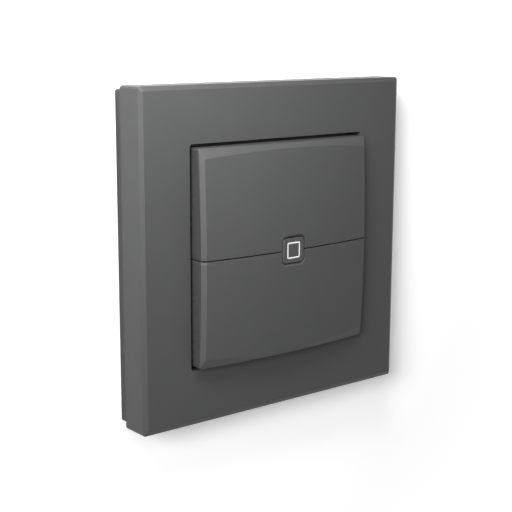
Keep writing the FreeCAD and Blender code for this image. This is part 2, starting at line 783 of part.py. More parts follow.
def make_cell_spring_negative():
    """A leaf that is soldered to the board and presses on the middle of the cell."""
    body = new_body("cell_spring_negative")
    profile = side_sketch(body, "leaf_profile")
    soldered_end = 8.0
    bend = 4.0
    pressed_half = 0.9
    tip = -1.9
    outline(
        profile,
        [
            (-board_level, soldered_end),
            (-board_level, bend - contact_sheet),
            (-(cell_front + contact_sheet), pressed_half - 0.1),
            (-(cell_front + contact_sheet), 0.1 - pressed_half),
            (-(cell_front + 2 * contact_sheet), tip + 0.1),
            (-(cell_front + contact_sheet), tip - 0.1),
            (-cell_front, -pressed_half),
            (-cell_front, pressed_half),
            (-(board_level - contact_sheet), bend),
            (-(board_level - contact_sheet), soldered_end),
        ],
    )
    pad(body, profile, SPRING_WIDTH, centred=True)
    return body


def make_cell_spring_positive():
    """A bent strip that stands on the board and reaches down beside the cell's rim."""
    body = new_body("cell_spring_positive")
    profile = plan_sketch(body, "strip_profile")
    rim = cell_radius + 0.02
    inner = rim + 0.6
    outer = inner + contact_sheet
    foot_end = rim + 3.4
    kink = cell_back + 1.3
    foot_back = board_level - contact_sheet
    outline(
        profile,
        [
            (foot_end, -board_level),
            (inner, -board_level),
            (inner, -(kink + 0.5)),
            (rim, -kink),
            (inner, -(kink - 0.5)),
            (outer, -(kink - 0.35)),
            (rim + 2 * contact_sheet, -kink),
            (outer, -(kink + 0.4)),
            (outer, -foot_back),
            (foot_end, -foot_back),
        ],
    )
    pad(body, profile, SPRING_WIDTH, centred=True)
    return body


# Circuit board and its components
def make_circuit_board():
    body = new_body("circuit_board")
    half_width = module_inside - 0.5
    half_height = key_hook_inner - 1.0
    cut = boss_place - boss_radius - 0.5
    slab = wall_sketch(body, "board_outline", board_level)
    outline(
        slab,
        [
            (-cut, -half_height),
            (cut, -half_height),
            (cut, -cut),
            (half_width, -cut),
            (half_width, cut),
            (cut, cut),
            (cut, half_height),
            (-cut, half_height),
            (-cut, cut),
            (-half_width, cut),
            (-half_width, -cut),
            (-cut, -cut),
        ],
    )
    pad(body, slab, board_thickness)
    holes = wall_sketch(body, "pin_holes", board_front)
    for side in (-1, 1):
        circle(holes, post_across * side, post_up * side, 0.8)
    pocket(body, holes)
    return body


def make_switch_body(label, height):
    """A push switch: a square case with cut corners, a hole for the plunger and four legs."""
    body = new_body(label)
    half = switch_width / 2
    case = wall_sketch(body, label + "_case", board_front)
    cut = 0.5
    outline(
        case,
        [
            (-(half - cut), height - half),
            (half - cut, height - half),
            (half, height - half + cut),
            (half, height + half - cut),
            (half - cut, height + half),
            (-(half - cut), height + half),
            (-half, height + half - cut),
            (-half, height - half + cut),
        ],
    )
    pad(body, case, switch_body_depth)
    legs = wall_sketch(body, label + "_legs", board_front)
    for across in (-1, 1):
        for up in (-1, 1):
            edges = sorted_pair((half - 0.2) * across, (half + 0.28) * across)
            middle = height + half * 0.54 * up
            rectangle(legs, *edges, middle - PLAY, middle + PLAY)
    pad(body, legs, 0.4)
    bore = wall_sketch(body, label + "_bore", switch_front)
    circle(bore, 0.0, height, plunger_radius + 0.1)
    pocket(body, bore, switch_body_depth - 0.9)
    return body


def make_plunger(label, height):
    body = new_body(label)
    stem_back = board_front + 1.7
    profile = wall_sketch(body, label + "_stem", stem_back)
    circle(profile, 0.0, height, plunger_radius)
    pad(body, profile, plunger_front - stem_back)
    front = value_of(plunger_front)
    dress_edges(body, "PartDesign::Chamfer", label + "_front", lambda edge: on_level(edge, front), 0.25)
    return body


def make_radio_shield():
    body = new_body("radio_shield")
    shell = wall_sketch(body, "shield_outline", board_level)
    centred_rectangle(shell, shield_across, shield_up, shield_width, shield_height)
    pad(body, shell, shield_depth, backwards=True)
    top = value_of(board_level - shield_depth)
    dress_edges(body, "PartDesign::Chamfer", "shield_edge", lambda edge: on_level(edge, top), 0.2)
    return body


def on_level(edge, level):
    return all(abs(v.Point.y + level) < 0.001 for v in edge.Vertexes)


def make_processor_chip():
    body = new_body("processor_chip")
    case = wall_sketch(body, "chip_outline", board_level)
    centred_rectangle(case, chip_across, chip_up, chip_width, chip_width)
    pad(body, case, chip_depth, backwards=True)
    leads = wall_sketch(body, "chip_leads", board_level)
    for row in range(-2, 3):
        centred_rectangle(leads, chip_across, chip_up + lead_pitch * row, lead_span, lead_pitch / 3)
    pad(body, leads, chip_depth / 4, backwards=True)
    return body


def make_quartz_crystal():
    body = new_body("quartz_crystal")
    can = wall_sketch(body, "crystal_outline", board_level)
    half_width, half_height = crystal_width / 2, crystal_height / 2
    rounded_rectangle(
        can,
        crystal_across - half_width,
        crystal_across + half_width,
        crystal_up - half_height,
        crystal_up + half_height,
        half_height * 0.95,
    )
    pad(body, can, crystal_depth, backwards=True)
    return body


def make_capacitors():
    """Small chip components beside the processor, as one group."""
    parts = []
    places = ((13.2, -14.0), (15.4, -14.0), (17.6, -14.0), (-14.5, -14.5), (-17.5, -14.5))
    for number, (across, up) in enumerate(places):
        chip = doc.addObject("Part::Box", f"capacitor_{number + 1}")
        chip.Length = 1.25
        chip.Width = 0.9
        chip.Height = 2.0
        chip.Placement = FreeCAD.Placement(FreeCAD.Vector(across, 0, up), FreeCAD.Rotation())
        chip.setExpression("Placement.Base.y", f"-1 * {board_level.formula}")
        parts.append(chip)
    group = doc.addObject("Part::Compound", "capacitors")
    group.Label = "capacitors"
    group.Links = parts
    return group


def make_status_led():
    body = new_body("status_led")
    base = wall_sketch(body, "led_base", board_front)
    centred_rectangle(base, led_across, led_up, led_height * 2, led_height)
    pad(body, base, led_layer)
    lens = wall_sketch(body, "led_lens", board_front + led_layer)
    centred_rectangle(lens, led_across, led_up, led_height * 1.2, led_height)
    pad(body, lens, led_layer)
    return body


def make_antenna_strip():
    """A bent strip along the top of the board, soldered at its left end."""
    body = new_body("antenna_strip")
    path = strip_path(body, board_level - strip_rise, strip_bend)
    profile = wall_sketch(body, "strip_section", board_level)
    centred_rectangle(profile, strip_left, strip_up, contact_sheet * 2, contact_sheet * 7)
    sweep = new_feature(body, "PartDesign::AdditivePipe", "strip_sweep")
    sweep.Profile = profile
    sweep.Spine = (path, ["Edge1", "Edge2", "Edge3"])
    return body


def strip_path(body, strip_level, bend):
    path = plan_sketch(body, "strip_path", strip_up)
    left, right = strip_left, strip_right
    path.addGeometry(Part.LineSegment(point(left, -board_level), point(left, -(strip_level + bend))), False)
    arc_between(path, (left + bend, -(strip_level + bend)), bend, 90.0, 180.0)
    path.addGeometry(Part.LineSegment(point(left + bend, -strip_level), point(right, -strip_level)), False)
    path.addConstraint(Sketcher.Constraint("Tangent", 0, 2, 1, 2))
    path.addConstraint(Sketcher.Constraint("Tangent", 1, 1, 2, 1))
    place_point(path, 0, 1, left, -board_level)
    place_point(path, 1, 3, left + bend, -(strip_level + bend))
    place_point(path, 2, 2, right, -strip_level)
    return path


def make_housing_screws():
    """Two self-tapping screws from the back, upper left and lower right."""
    body = new_body("housing_screws")
    body.AllowCompound = True
    head_back = module_back + PLAY
    head_front = head_back + screw_head_depth
    left, up = -boss_place, boss_place
    head = wall_sketch(body, "screw_head", head_back)
    circle(head, left, up, screw_head_radius)
    head_pad = pad(body, head, screw_head_depth)
    shank = wall_sketch(body, "screw_shank", head_front)
    circle(shank, left, up, screw_radius)
    shank_pad = pad(body, shank, carrier_front - 0.6 - head_front)
    arm, arm_width, arm_depth = screw_radius * 2.2, screw_radius / 2, screw_head_depth / 2
    drive = wall_sketch(body, "screw_drive", head_back)
    centred_rectangle(drive, left, up, arm, arm_width)
    drive_pocket = pocket(body, drive, arm_depth, forwards=True)
    cross = wall_sketch(body, "screw_cross", head_back)
    centred_rectangle(cross, left, up, arm_width, arm)
    cross_pocket = pocket(body, cross, arm_depth, forwards=True)
    polar(body, [head_pad, shank_pad, drive_pocket, cross_pocket], 2, "screw_places")
    return body


# Keys
def join_to_arc(sketch, arc, radius, corners):
    """Closes an arc's outline with straight lines from its end, through the corners, back to its start."""
    first = sketch.GeometryCount
    for start, end in zip(corners, corners[1:]):
        sketch.addGeometry(Part.LineSegment(point(*start), point(*end)), False)
    last = sketch.GeometryCount - 1
    for line in range(first, last):
        sketch.addConstraint(Sketcher.Constraint("Coincident", line, 2, line + 1, 1))
    sketch.addConstraint(Sketcher.Constraint("Coincident", arc, 2, first, 1))
    sketch.addConstraint(Sketcher.Constraint("Coincident", last, 2, arc, 1))
    for line, corner in enumerate(corners[:-1]):
        place_point(sketch, first + line, 1, *corner)
    place_point(sketch, last, 2, *corners[-1])
    driven = sketch.addConstraint(Sketcher.Constraint("Radius", arc, value_of(radius)))
    bind(sketch, f"Constraints[{driven}]", radius)


def bowed_cut(body, label, apex, across, upright, chamfer):
    """Cuts the front to its double bow, with the side chamfers: one profile turned about an axis along X."""
    sketch = plan_sketch(body, label)
    right = key_half - chamfer
    left = -right
    square = across * across - right * right
    drop = across - Size(square.value**0.5, f"sqrt({square.formula})")
    shoulder = -(apex - drop)
    angle = math.degrees(math.asin(value_of(right) / value_of(across)))
    arc = arc_between(sketch, (0.0, across - apex), across, 270.0 - angle, 270.0 + angle)
    corners = [
        (right, shoulder),
        (right + chamfer + BEYOND, shoulder + chamfer + BEYOND),
        (right + chamfer + BEYOND, -(apex + 3 * BEYOND)),
        (left - chamfer - BEYOND, -(apex + 3 * BEYOND)),
        (left - chamfer - BEYOND, shoulder + chamfer + BEYOND),
        (left, shoulder),
    ]
    join_to_arc(sketch, arc, across, corners)
    axis_level = upright - apex
    axis = sketch.addGeometry(Part.LineSegment(point(left, axis_level), point(right, axis_level)), True)
    place_point(sketch, axis, 1, left, axis_level)
    place_point(sketch, axis, 2, right, axis_level)
    return revolved(body, "PartDesign::Groove", sketch, "Axis0", angle=16.0, centred=True)


def arched_bevel(body, side):
    """Cuts the bevel along the outer edge: lower in the middle, taller at the corners."""
    sections = []
    reach = key_half + BEYOND
    for label, across in (("left", -reach), ("middle", reach * 0), ("right", reach)):
        share = across / key_half
        height = bevel_middle + (bevel_end - bevel_middle) * (share * share)
        bow = across * across / (bow_across * 2)
        inner = key_half - height
        inner_level = key_apex - bow - inner * inner / (bow_upright * 2)
        outer_level = key_apex - bow - key_half * key_half / (bow_upright * 2) - key_chamfer
        fall = inner_level - outer_level
        past = 0.4  # share of the bevel by which the cut runs on at each end
        near, far = (inner - height * past) * side, (key_half + height * past) * side
        sketch = side_sketch(body, f"{body.Label}_bevel_{label}", across)
        outline(
            sketch,
            [
                (-(inner_level + fall * past), near),
                (-(outer_level - fall * past), far),
                (-(key_apex + BEYOND), far),
                (-(key_apex + BEYOND), near),
            ],
        )
        sections.append(sketch)
    made = new_feature(body, "PartDesign::SubtractiveLoft", body.Label + "_bevel")
    made.Profile = sections[0]
    made.Sections = sections[1:]
    return made


def key_core(label, side):
    """The hollow behind a key's front: its roof is curved from left to right, like the front."""
    body = new_body(label + "_core")
    inner = key_half - key_wall
    near = key_split / 2 + key_wall * 0.8
    roof = key_apex - key_skin - PLAY
    eaves = roof - inner * inner / (bow_across * 2)
    back = key_skirt - BEYOND
    sketch = plan_sketch(body, label + "_core_profile", near * side)
    angle = math.degrees(math.asin(value_of(inner) / value_of(bow_across)))
    arc = arc_between(sketch, (0.0, bow_across - roof), bow_across, 270.0 - angle, 270.0 + angle)
    corners = [(inner, -eaves), (inner, -back), (-inner, -back), (-inner, -eaves)]
    join_to_arc(sketch, arc, bow_across, corners)
    pad(body, sketch, inner - near, backwards=side < 0)
    return body


def make_key(label, side):
    """One of the two wide keys; side is 1 for the upper and -1 for the lower one."""
    core = key_core(label, side)
    body = new_body(label)
    near = key_split / 2
    slab = wall_sketch(body, label + "_outline", key_skirt)
    rectangle(slab, -key_half, key_half, *sorted_pair(near * side, key_half * side))
    pad(body, slab, key_apex - key_skirt)
    far_corner = value_of(key_half)
    dress_edges(
        body,
        "PartDesign::Fillet",
        label + "_corners",
        lambda edge: parallel_to_y(edge) and abs(abs(edge.Vertexes[0].Point.z) - far_corner) < 0.01,
        key_corner,
    )
    bowed_cut(body, label + "_front", key_apex, bow_across, bow_upright, key_chamfer)
    arched_bevel(body, side)

    hollow = new_feature(body, "PartDesign::Boolean", label + "_hollow")
    hollow.setObjects([core])
    hollow.Type = "Cut"

    inner = key_half - key_wall
    relief = wall_sketch(body, label + "_relief", key_skirt - BEYOND)
    rectangle(relief, -inner, inner, *sorted_pair((near - BEYOND) * side, (near + key_wall + 0.2) * side))
    pocket(body, relief, inner_skirt - key_skirt + BEYOND, forwards=True)

    notch_half = stop_width / 2 + stop_gap
    notch_height = stop_height / 2 + stop_gap
    notch_wall = wall_sketch(body, label + "_notch_wall", inner_skirt)
    wall_half = notch_half + stop_wall
    edges = sorted_pair(near * side, (notch_height + stop_wall) * side)
    rectangle(notch_wall, -wall_half, wall_half, *edges)
    pad(body, notch_wall, key_apex - key_skin / 2 - inner_skirt)
    notch = wall_sketch(body, label + "_notch", key_apex + BEYOND)
    notch_radius = stop_corner + stop_gap
    rounded_rectangle(notch, -notch_half, notch_half, -notch_height, notch_height, notch_radius)
    pocket(body, notch)

    axle_start = ear_inner - 0.2
    axle = side_sketch(body, label + "_axle", axle_start)
    circle(axle, -hinge_level, hinge_height * side, axle_radius)
    axle_pad = pad(body, axle, key_half - key_wall + PLAY - axle_start)

    hook = side_sketch(body, label + "_hook", key_hook_across - key_hook_width / 2)
    nose_front = carrier_front - carrier_plate - 0.06
    nose_back = nose_front - 0.75
    hook_outer = key_hook_inner + key_hook_thickness
    nose_reach = hook_outer + 0.7
    hook_root = key_apex - key_skin - 0.4
    outline(
        hook,
        [
            (-hook_root, key_hook_inner * side),
            (-nose_back, key_hook_inner * side),
            (-nose_back, (hook_outer - PLAY) * side),
            (-(nose_front - PLAY), nose_reach * side),
            (-nose_front, nose_reach * side),
            (-nose_front, hook_outer * side),
            (-hook_root, hook_outer * side),
        ],
    )
    hook_pad = pad(body, hook, key_hook_width)
    mirrored(body, [axle_pad, hook_pad], "YZ_Plane", label + "_pairs")

    post = wall_sketch(body, label + "_post", plunger_front + 0.1)
    circle(post, 0.0, switch_height * side, key_post_radius)
    pad(body, post, key_apex - key_skin / 2 - plunger_front - 0.5)

    ribs = wall_sketch(body, label + "_ribs", ear_level + 0.2)
    for share in (-0.7, -0.3, 0.3, 0.7):
        edges = sorted_pair((hinge_height + 3.4) * side, (key_half - key_wall + 0.2) * side)
        middle = inner * share
        rectangle(ribs, middle - key_rib_thickness / 2, middle + key_rib_thickness / 2, *edges)
    pad(body, ribs, 2.0)
    return body


# Stop key
def make_stop_key():
    body = new_body("stop_key")
    half_width, half_height = stop_width / 2, stop_height / 2
    cap = wall_sketch(body, "stop_outline", stop_skirt)
    rounded_rectangle(cap, -half_width, half_width, -half_height, half_height, stop_corner)
    pad(body, cap, key_apex - stop_skirt)
    apex = value_of(key_apex)
    dress_edges(body, "PartDesign::Chamfer", "stop_edge", lambda edge: on_level(edge, apex), 0.2)

    hollow = wall_sketch(body, "stop_hollow", stop_skirt)
    hollow_width, hollow_height = half_width - stop_wall, half_height - stop_wall
    rectangle(hollow, -hollow_width, hollow_width, -hollow_height, hollow_height)
    pocket(body, hollow, key_apex - stop_skin - stop_skirt, forwards=True)
    post = wall_sketch(body, "stop_post", plunger_front + 0.1)
    circle(post, 0.0, 0.0, stop_skin * 0.75)
    pad(body, post, key_apex - stop_skin * 0.75 - plunger_front - 0.1)

    lug_back = lug_front - lug_depth
    leg = wall_sketch(body, "stop_leg", lug_back)
    rectangle(leg, half_width - 0.7, half_width, -(lug_width / 2), lug_width / 2)
    leg_pad = pad(body, leg, stop_skirt + 0.5 - lug_back)
    lug = wall_sketch(body, "stop_lug", lug_back)
    rectangle(lug, half_width - 0.2, half_width + 0.7, -(lug_width / 2), lug_width / 2)
    lug_pad = pad(body, lug, lug_depth)
    mirrored(body, [leg_pad, lug_pad], "YZ_Plane", "stop_legs")

    groove = wall_sketch(body, "symbol_groove", key_apex)
    symbol_outline(groove)
    pocket(body, groove, symbol_depth)
    return body


def symbol_outline(sketch):
    """The square outline: an outer and an inner rounded square."""
    rounded_square(sketch, symbol_width, symbol_line * 1.2)
    rounded_square(sketch, symbol_width - symbol_line * 2, symbol_line / 2)


def make_stop_symbol():
    body = new_body("stop_symbol")
    ring = wall_sketch(body, "symbol_ring", key_apex - symbol_depth)
    symbol_outline(ring)
    pad(body, ring, symbol_depth)
    return body


# Assembly
def build():
    parts = [
        make_cover_frame(),
        make_wall_plate(),
        make_rear_housing(),
        make_carrier(),
        make_battery_door(),
        make_coin_cell(),
        make_cell_spring_negative(),
        make_cell_spring_positive(),
        make_circuit_board(),
        make_radio_shield(),
        make_processor_chip(),
        make_quartz_crystal(),
        make_capacitors(),
        make_status_led(),
        make_antenna_strip(),
        make_housing_screws(),
        make_key("upper_key", 1),
        make_key("lower_key", -1),
        make_stop_key(),
        make_stop_symbol(),
    ]
    for name, height in (("upper", switch_height), ("stop", switch_height * 0), ("lower", -switch_height)):
        parts.append(make_switch_body("switch_body_" + name, height))
        parts.append(make_plunger("plunger_" + name, height))
    return parts


def check(parts):
    """Stops if anything failed to build."""
    for thing in doc.Objects:
        if "Invalid" in thing.State or "Error" in thing.State:
            raise RuntimeError(f"{thing.Label} failed: {thing.State}")
    for part in parts:
        if part.Shape.isNull() or not part.Shape.isValid() or not part.Shape.Solids:
            raise RuntimeError(f"{part.Label} has no valid shape")


parts = build()
doc.recompute()
check(parts)
os.makedirs("parts", exist_ok=True)
for part in parts:
    part.Shape.exportStep(os.path.join("parts", part.Label + ".step"))
    print(part.Label, len(part.Shape.Solids), round(part.Shape.Volume, 2))
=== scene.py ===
import math

import bmesh
import bpy
from bpy.props import FloatProperty, FloatVectorProperty, IntProperty, PointerProperty
from mathutils import Matrix, Vector


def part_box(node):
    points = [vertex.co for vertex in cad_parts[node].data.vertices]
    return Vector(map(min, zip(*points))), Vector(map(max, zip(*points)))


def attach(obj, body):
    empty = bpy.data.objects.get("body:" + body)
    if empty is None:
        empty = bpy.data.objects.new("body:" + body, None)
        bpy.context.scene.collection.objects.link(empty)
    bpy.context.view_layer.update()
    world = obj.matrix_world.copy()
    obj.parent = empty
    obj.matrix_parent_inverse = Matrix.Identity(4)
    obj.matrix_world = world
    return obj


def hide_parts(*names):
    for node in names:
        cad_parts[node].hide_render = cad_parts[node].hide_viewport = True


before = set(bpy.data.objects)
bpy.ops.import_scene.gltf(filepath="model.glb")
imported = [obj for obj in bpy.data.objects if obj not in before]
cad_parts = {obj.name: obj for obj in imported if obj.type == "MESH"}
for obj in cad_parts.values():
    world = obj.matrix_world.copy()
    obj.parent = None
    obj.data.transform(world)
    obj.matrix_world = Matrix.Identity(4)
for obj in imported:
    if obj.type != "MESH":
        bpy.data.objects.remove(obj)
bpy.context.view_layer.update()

bl_info = {
    "name": "Wireless Wall Switch Finish",
    "version": (1, 0, 0),
    "blender": (4, 5, 0),
    "location": "View3D > Sidebar > Wall Switch",
    "description": "Dresses the wireless wall switch and sets its studio",
    "category": "Object",
}

# Everything is modelled in millimetres and scaled to metres when a piece is finished.
# The wall is y = 0 and the front faces -Y, so a level in front of the wall is y = -level.
MM = 0.001
QUARTER = math.pi / 2
TINY = 1e-4  # points that are closer than this are one point
CORNER_STEPS = 40  # points round a rounded square, ten to a corner
SLAB_STEPS = 8  # faces round each corner of a rounded slab
POST_STEPS = 32  # faces round a post
EDGE_STEPS = 2  # faces across an edge that the mould leaves soft
OVERLAP = 0.1  # how far a rib runs into the walls that carry it
PAST = 1.0  # how far a cutting shape runs past the piece
PLUNGER_REACH = 12.05  # level of the posts that push the plungers
NOISE_LOW, NOISE_HIGH = 0.3, 0.7  # nearly all of a noise lies between these


# Reading the frame
def half_width(node):
    """Half the width of a node, in millimetres."""
    low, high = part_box(node)
    return (high[0] - low[0]) / 2 / MM


def half_height(node):
    """Half the height of a node, in millimetres."""
    low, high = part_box(node)
    return (high[2] - low[2]) / 2 / MM


def front_level(node):
    """How far a node's front stands from the wall, in millimetres."""
    return -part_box(node)[0][1] / MM


def back_level(node):
    """How far a node's back stands from the wall, in millimetres."""
    return -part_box(node)[1][1] / MM


# Settings
class FrameShape(bpy.types.PropertyGroup):
    bevel_width: FloatProperty(
        name="Bevel Width", description="Front bevel, seen from the front",
        default=1.1 * MM, unit="LENGTH",
    )
    bevel_depth: FloatProperty(
        name="Bevel Depth", description="Front bevel, seen from the side",
        default=0.68 * MM, unit="LENGTH",
    )
    corner: FloatProperty(
        name="Corner", description="Radius of the upright corners",
        default=0.8 * MM, unit="LENGTH",
    )
    window: FloatProperty(
        name="Window", description="Width of the window for the keys",
        default=55.2 * MM, unit="LENGTH",
    )
    window_corner: FloatProperty(
        name="Window Corner", description="Radius of the window's corners",
        default=0.7 * MM, unit="LENGTH",
    )
    wall: FloatProperty(
        name="Side Wall", description="Thickness of the side walls",
        default=2.0 * MM, unit="LENGTH",
    )
    front: FloatProperty(
        name="Front Wall", description="Thickness of the front wall",
        default=2.4 * MM, unit="LENGTH",
    )
    edge: FloatProperty(
        name="Edge Softness", description="Radius that the mould leaves on the edges",
        default=0.06 * MM, unit="LENGTH",
    )


class KeyShape(bpy.types.PropertyGroup):
    bow_across: FloatProperty(
        name="Bow Across", description="Radius of the front, left to right",
        default=218 * MM, unit="LENGTH",
    )
    bow_upright: FloatProperty(
        name="Bow Upright", description="Radius of the front, top to bottom",
        default=438 * MM, unit="LENGTH",
    )
    chamfer: FloatProperty(
        name="Side Chamfer", description="Chamfer at the left and right edges",
        default=1.0 * MM, unit="LENGTH",
    )
    bevel_middle: FloatProperty(
        name="Bevel at Mid-Width", description="Height of the arched bevel at mid-width",
        default=1.22 * MM, unit="LENGTH",
    )
    bevel_end: FloatProperty(
        name="Bevel at Corners", description="Height of the arched bevel at the corners",
        default=2.6 * MM, unit="LENGTH",
    )
    corner: FloatProperty(
        name="Corner", description="Radius of the outer upright corners",
        default=0.6 * MM, unit="LENGTH",
    )
    wall: FloatProperty(
        name="Wall", description="Thickness of the side walls", default=1.5 * MM, unit="LENGTH"
    )
    skin: FloatProperty(
        name="Skin", description="Thickness of the front", default=1.7 * MM, unit="LENGTH"
    )
    columns: IntProperty(
        name="Columns", description="Faces across the bowed front", default=56, min=8
    )
    rows: IntProperty(name="Rows", description="Faces up the bowed front", default=26, min=4)


class StopShape(bpy.types.PropertyGroup):
    width: FloatProperty(
        name="Width", description="Width of the stop key", default=6.85 * MM, unit="LENGTH"
    )
    corner: FloatProperty(
        name="Corner", description="Corner radius of the stop key",
        default=1.05 * MM, unit="LENGTH",
    )
    edge: FloatProperty(
        name="Edge", description="Rounding of the stop key's front edge",
        default=0.22 * MM, unit="LENGTH",
    )
    gap: FloatProperty(
        name="Gap", description="Gap between the stop key and the keys",
        default=0.22 * MM, unit="LENGTH",
    )
    outline: FloatProperty(
        name="Outline", description="Width of the square outline",
        default=4.15 * MM, unit="LENGTH",
    )
    line: FloatProperty(
        name="Line", description="Width of the square outline's line",
        default=0.4 * MM, unit="LENGTH",
    )
    inlay: FloatProperty(
        name="Inlay", description="Depth of the square outline", default=0.4 * MM, unit="LENGTH"
    )


class PlasticFinish(bpy.types.PropertyGroup):
    frame_colour: FloatVectorProperty(
        name="Frame", description="Colour of the cover frame",
        default=(0.047, 0.0475, 0.0475), subtype="COLOR", min=0, max=1,
    )
    key_colour: FloatVectorProperty(
        name="Keys", description="Colour of the keys",
        default=(0.047, 0.0475, 0.0475), subtype="COLOR", min=0, max=1,
    )
    # Darker than the frame: partly the plate's own tone, partly painted shade for its recess by
    # the wall, which the wall itself doesn't shade.
    plate_colour_and_shade: FloatVectorProperty(
        name="Wall Plate", description="Colour of the wall plate",
        default=(0.030, 0.0303, 0.0303), subtype="COLOR", min=0, max=1,
    )
    inlay_colour: FloatVectorProperty(
        name="Outline", description="Colour of the square outline",
        default=(0.6, 0.6, 0.6), subtype="COLOR", min=0, max=1,
    )
    roughness: FloatProperty(
        name="Roughness", description="Roughness of the anthracite plastic",
        default=0.5, min=0, max=1, subtype="FACTOR",
    )
    sheen: FloatProperty(
        name="Sheen", description="Specular level of the anthracite plastic",
        default=0.27, min=0, max=1, subtype="FACTOR",
    )
    grain: FloatProperty(
        name="Grain", description="Size of the moulded grain", default=0.16 * MM, unit="LENGTH"
    )
    grain_depth: FloatProperty(
        name="Grain Depth", description="Depth of the moulded grain",
        default=0.006 * MM, unit="LENGTH",
    )


class Studio(bpy.types.PropertyGroup):
    key_power: FloatProperty(
        name="Key Light", description="Power of the small light close to the upper left",
        default=0.11, min=0, unit="POWER",
    )
    top_power: FloatProperty(
        name="Top Light", description="Power of the light close above",
        default=0.05, min=0, unit="POWER",
    )
    side_power: FloatProperty(
        name="Side Light", description="Power of the light at the upper left",
        default=0.12, min=0, unit="POWER",
    )
    edge_power: FloatProperty(
        name="Edge Light", description="Power of the light that picks out the left bevel",
        default=0.034, min=0, unit="POWER",
    )
    shadow_power: FloatProperty(
        name="Shadow Light", description="Power of the far light, whose shadow falls low right",
        default=16.5, min=0, unit="POWER",
    )
    fill_power: FloatProperty(
        name="Right Fill", description="Power of the broad light at the right",
        default=0.12, min=0, unit="POWER",
    )
    back_power: FloatProperty(
        name="Back Light", description="Power of the light behind the wall",
        default=11.0, min=0, unit="POWER",
    )
    ambient: FloatProperty(
        name="Ambient", description="Strength of the surrounding light", default=0.14, min=0
    )
    wall_glow: FloatProperty(
        name="Wall Tone", description="How bright the unlit wall looks near the switch",
        default=0.33, min=0, max=1, subtype="FACTOR",
    )
    # Painted light: a brighter glow far from the switch stands in for lamp light that falls off
    # there.
    far_glow: FloatProperty(
        name="Far Wall Tone", description="How bright the unlit wall looks far from the switch",
        default=0.7, min=0, max=1, subtype="FACTOR",
    )
    floor_glow: FloatProperty(
        name="Floor Tone", description="How bright the unlit floor looks",
        default=0.42, min=0, max=1, subtype="FACTOR",
    )
    lens: FloatProperty(
        name="Lens", description="Focal length of the camera", default=81.2 * MM, unit="CAMERA"
    )


# Mesh helpers
def box_mesh(bm, x0, x1, level0, level1, z0, z1):
    """A box between two corners, as a set of new vertices."""
    made = bmesh.ops.create_cube(bm, size=1.0)["verts"]
    bmesh.ops.scale(bm, vec=(x1 - x0, level1 - level0, z1 - z0), verts=made)
    bmesh.ops.translate(bm, vec=((x0 + x1) / 2, -(level0 + level1) / 2, (z0 + z1) / 2), verts=made)
    return made


def turned(bm, verts, angle, axis):
    """Turns vertices about an axis through the middle of the switch."""
    bmesh.ops.rotate(bm, verts=verts, cent=(0, 0, 0), matrix=Matrix.Rotation(angle, 3, axis))


def post_mesh(bm, x, z, level0, level1, radius):
    """A round post that stands square to the wall."""
    made = bmesh.ops.create_cone(
        bm, cap_ends=True, segments=POST_STEPS,
        radius1=radius, radius2=radius, depth=level1 - level0,
    )["verts"]
    turned(bm, made, QUARTER, "X")
    bmesh.ops.translate(bm, vec=(x, -(level0 + level1) / 2, z), verts=made)
    return made


def edges_of(verts):
    """All edges that meet these vertices, each once and in order."""
    return list(dict.fromkeys(edge for vert in verts for edge in vert.link_edges))


def upright(edge):
    """True for an edge square to the wall."""
    nearly_all = 0.999
    way = edge.verts[1].co - edge.verts[0].co
    return abs(way.y) > nearly_all * way.length


def round_edges(bm, edges, radius, segments):
    """Rounds edges with so many faces across."""
    bmesh.ops.bevel(
        bm, geom=edges, affect="EDGES", offset=radius, segments=segments,
        profile=0.5, material=-1,
    )


def sharp_edges(bm, over):
    """Edges that turn by more than so many degrees."""
    return [e for e in bm.edges if e.is_manifold and e.calc_face_angle(0.0) > math.radians(over)]


def rounded_slab(bm, half_x, half_z, level0, level1, radius):
    """A plate with rounded upright corners."""
    made = box_mesh(bm, -half_x, half_x, level0, level1, -half_z, half_z)
    round_edges(bm, [e for e in edges_of(made) if upright(e)], radius, SLAB_STEPS)


def rounded_outline(bm, half, level, corner):
    """A rounded square parallel to the wall, as a closed chain of edges."""
    half_step = math.pi / CORNER_STEPS
    reach = corner / math.cos(half_step)
    made = bmesh.ops.create_circle(bm, segments=CORNER_STEPS, radius=reach)["verts"]
    turned(bm, made, half_step, "Z")
    turned(bm, made, QUARTER, "X")
    for vert in made:
        vert.co.x += math.copysign(half - corner, vert.co.x)
        vert.co.z += math.copysign(half - corner, vert.co.z)
        vert.co.y = -level
    return edges_of(made)


def resized(value, start, end):
    """Carries a coordinate from one (half width, level, corner radius) square to the next."""
    past_centre = abs(value) - (start[0] - start[2])
    return math.copysign(end[0] - end[2] + past_centre * end[2] / start[2], value)


def softened(profile, radius):
    """Rounds every corner of a closed profile of (half width, level, corner radius) points."""
    result = []
    befores, afters = profile[-1:] + profile[:-1], profile[1:] + profile[:1]
    for before, here, after in zip(befores, profile, afters):
        middle = Vector(here[:2])
        to_before = (Vector(before[:2]) - middle).normalized()
        to_after = (Vector(after[:2]) - middle).normalized()
        turn = math.pi - to_before.angle(to_after)
        cut = radius * math.tan(turn / 2)
        inward = (to_before + to_after).normalized()
        centre = middle + inward * (radius / math.cos(turn / 2))
        start = middle + to_before * cut - centre
        end = middle + to_after * cut - centre
        for step in range(EDGE_STEPS + 1):
            spoke = start.lerp(end, step / EDGE_STEPS).normalized() * radius
            result.append((*(centre + spoke), here[2]))
    return result


def drawn_on(bm, edges):
    """Draws a wall on from a rim, and returns the new rim's edges and vertices."""
    made = bmesh.ops.extrude_edge_only(bm, edges=edges)["geom"]
    rim = [g for g in made if isinstance(g, bmesh.types.BMEdge)]
    return rim, [g for g in made if isinstance(g, bmesh.types.BMVert)]


def drawn_back(bm, edges, level):
    """Draws a wall from a rim back to a level, and returns the new rim's edges."""
    rim, foot = drawn_on(bm, edges)
    for vert in foot:
        vert.co.y = -level
    return rim


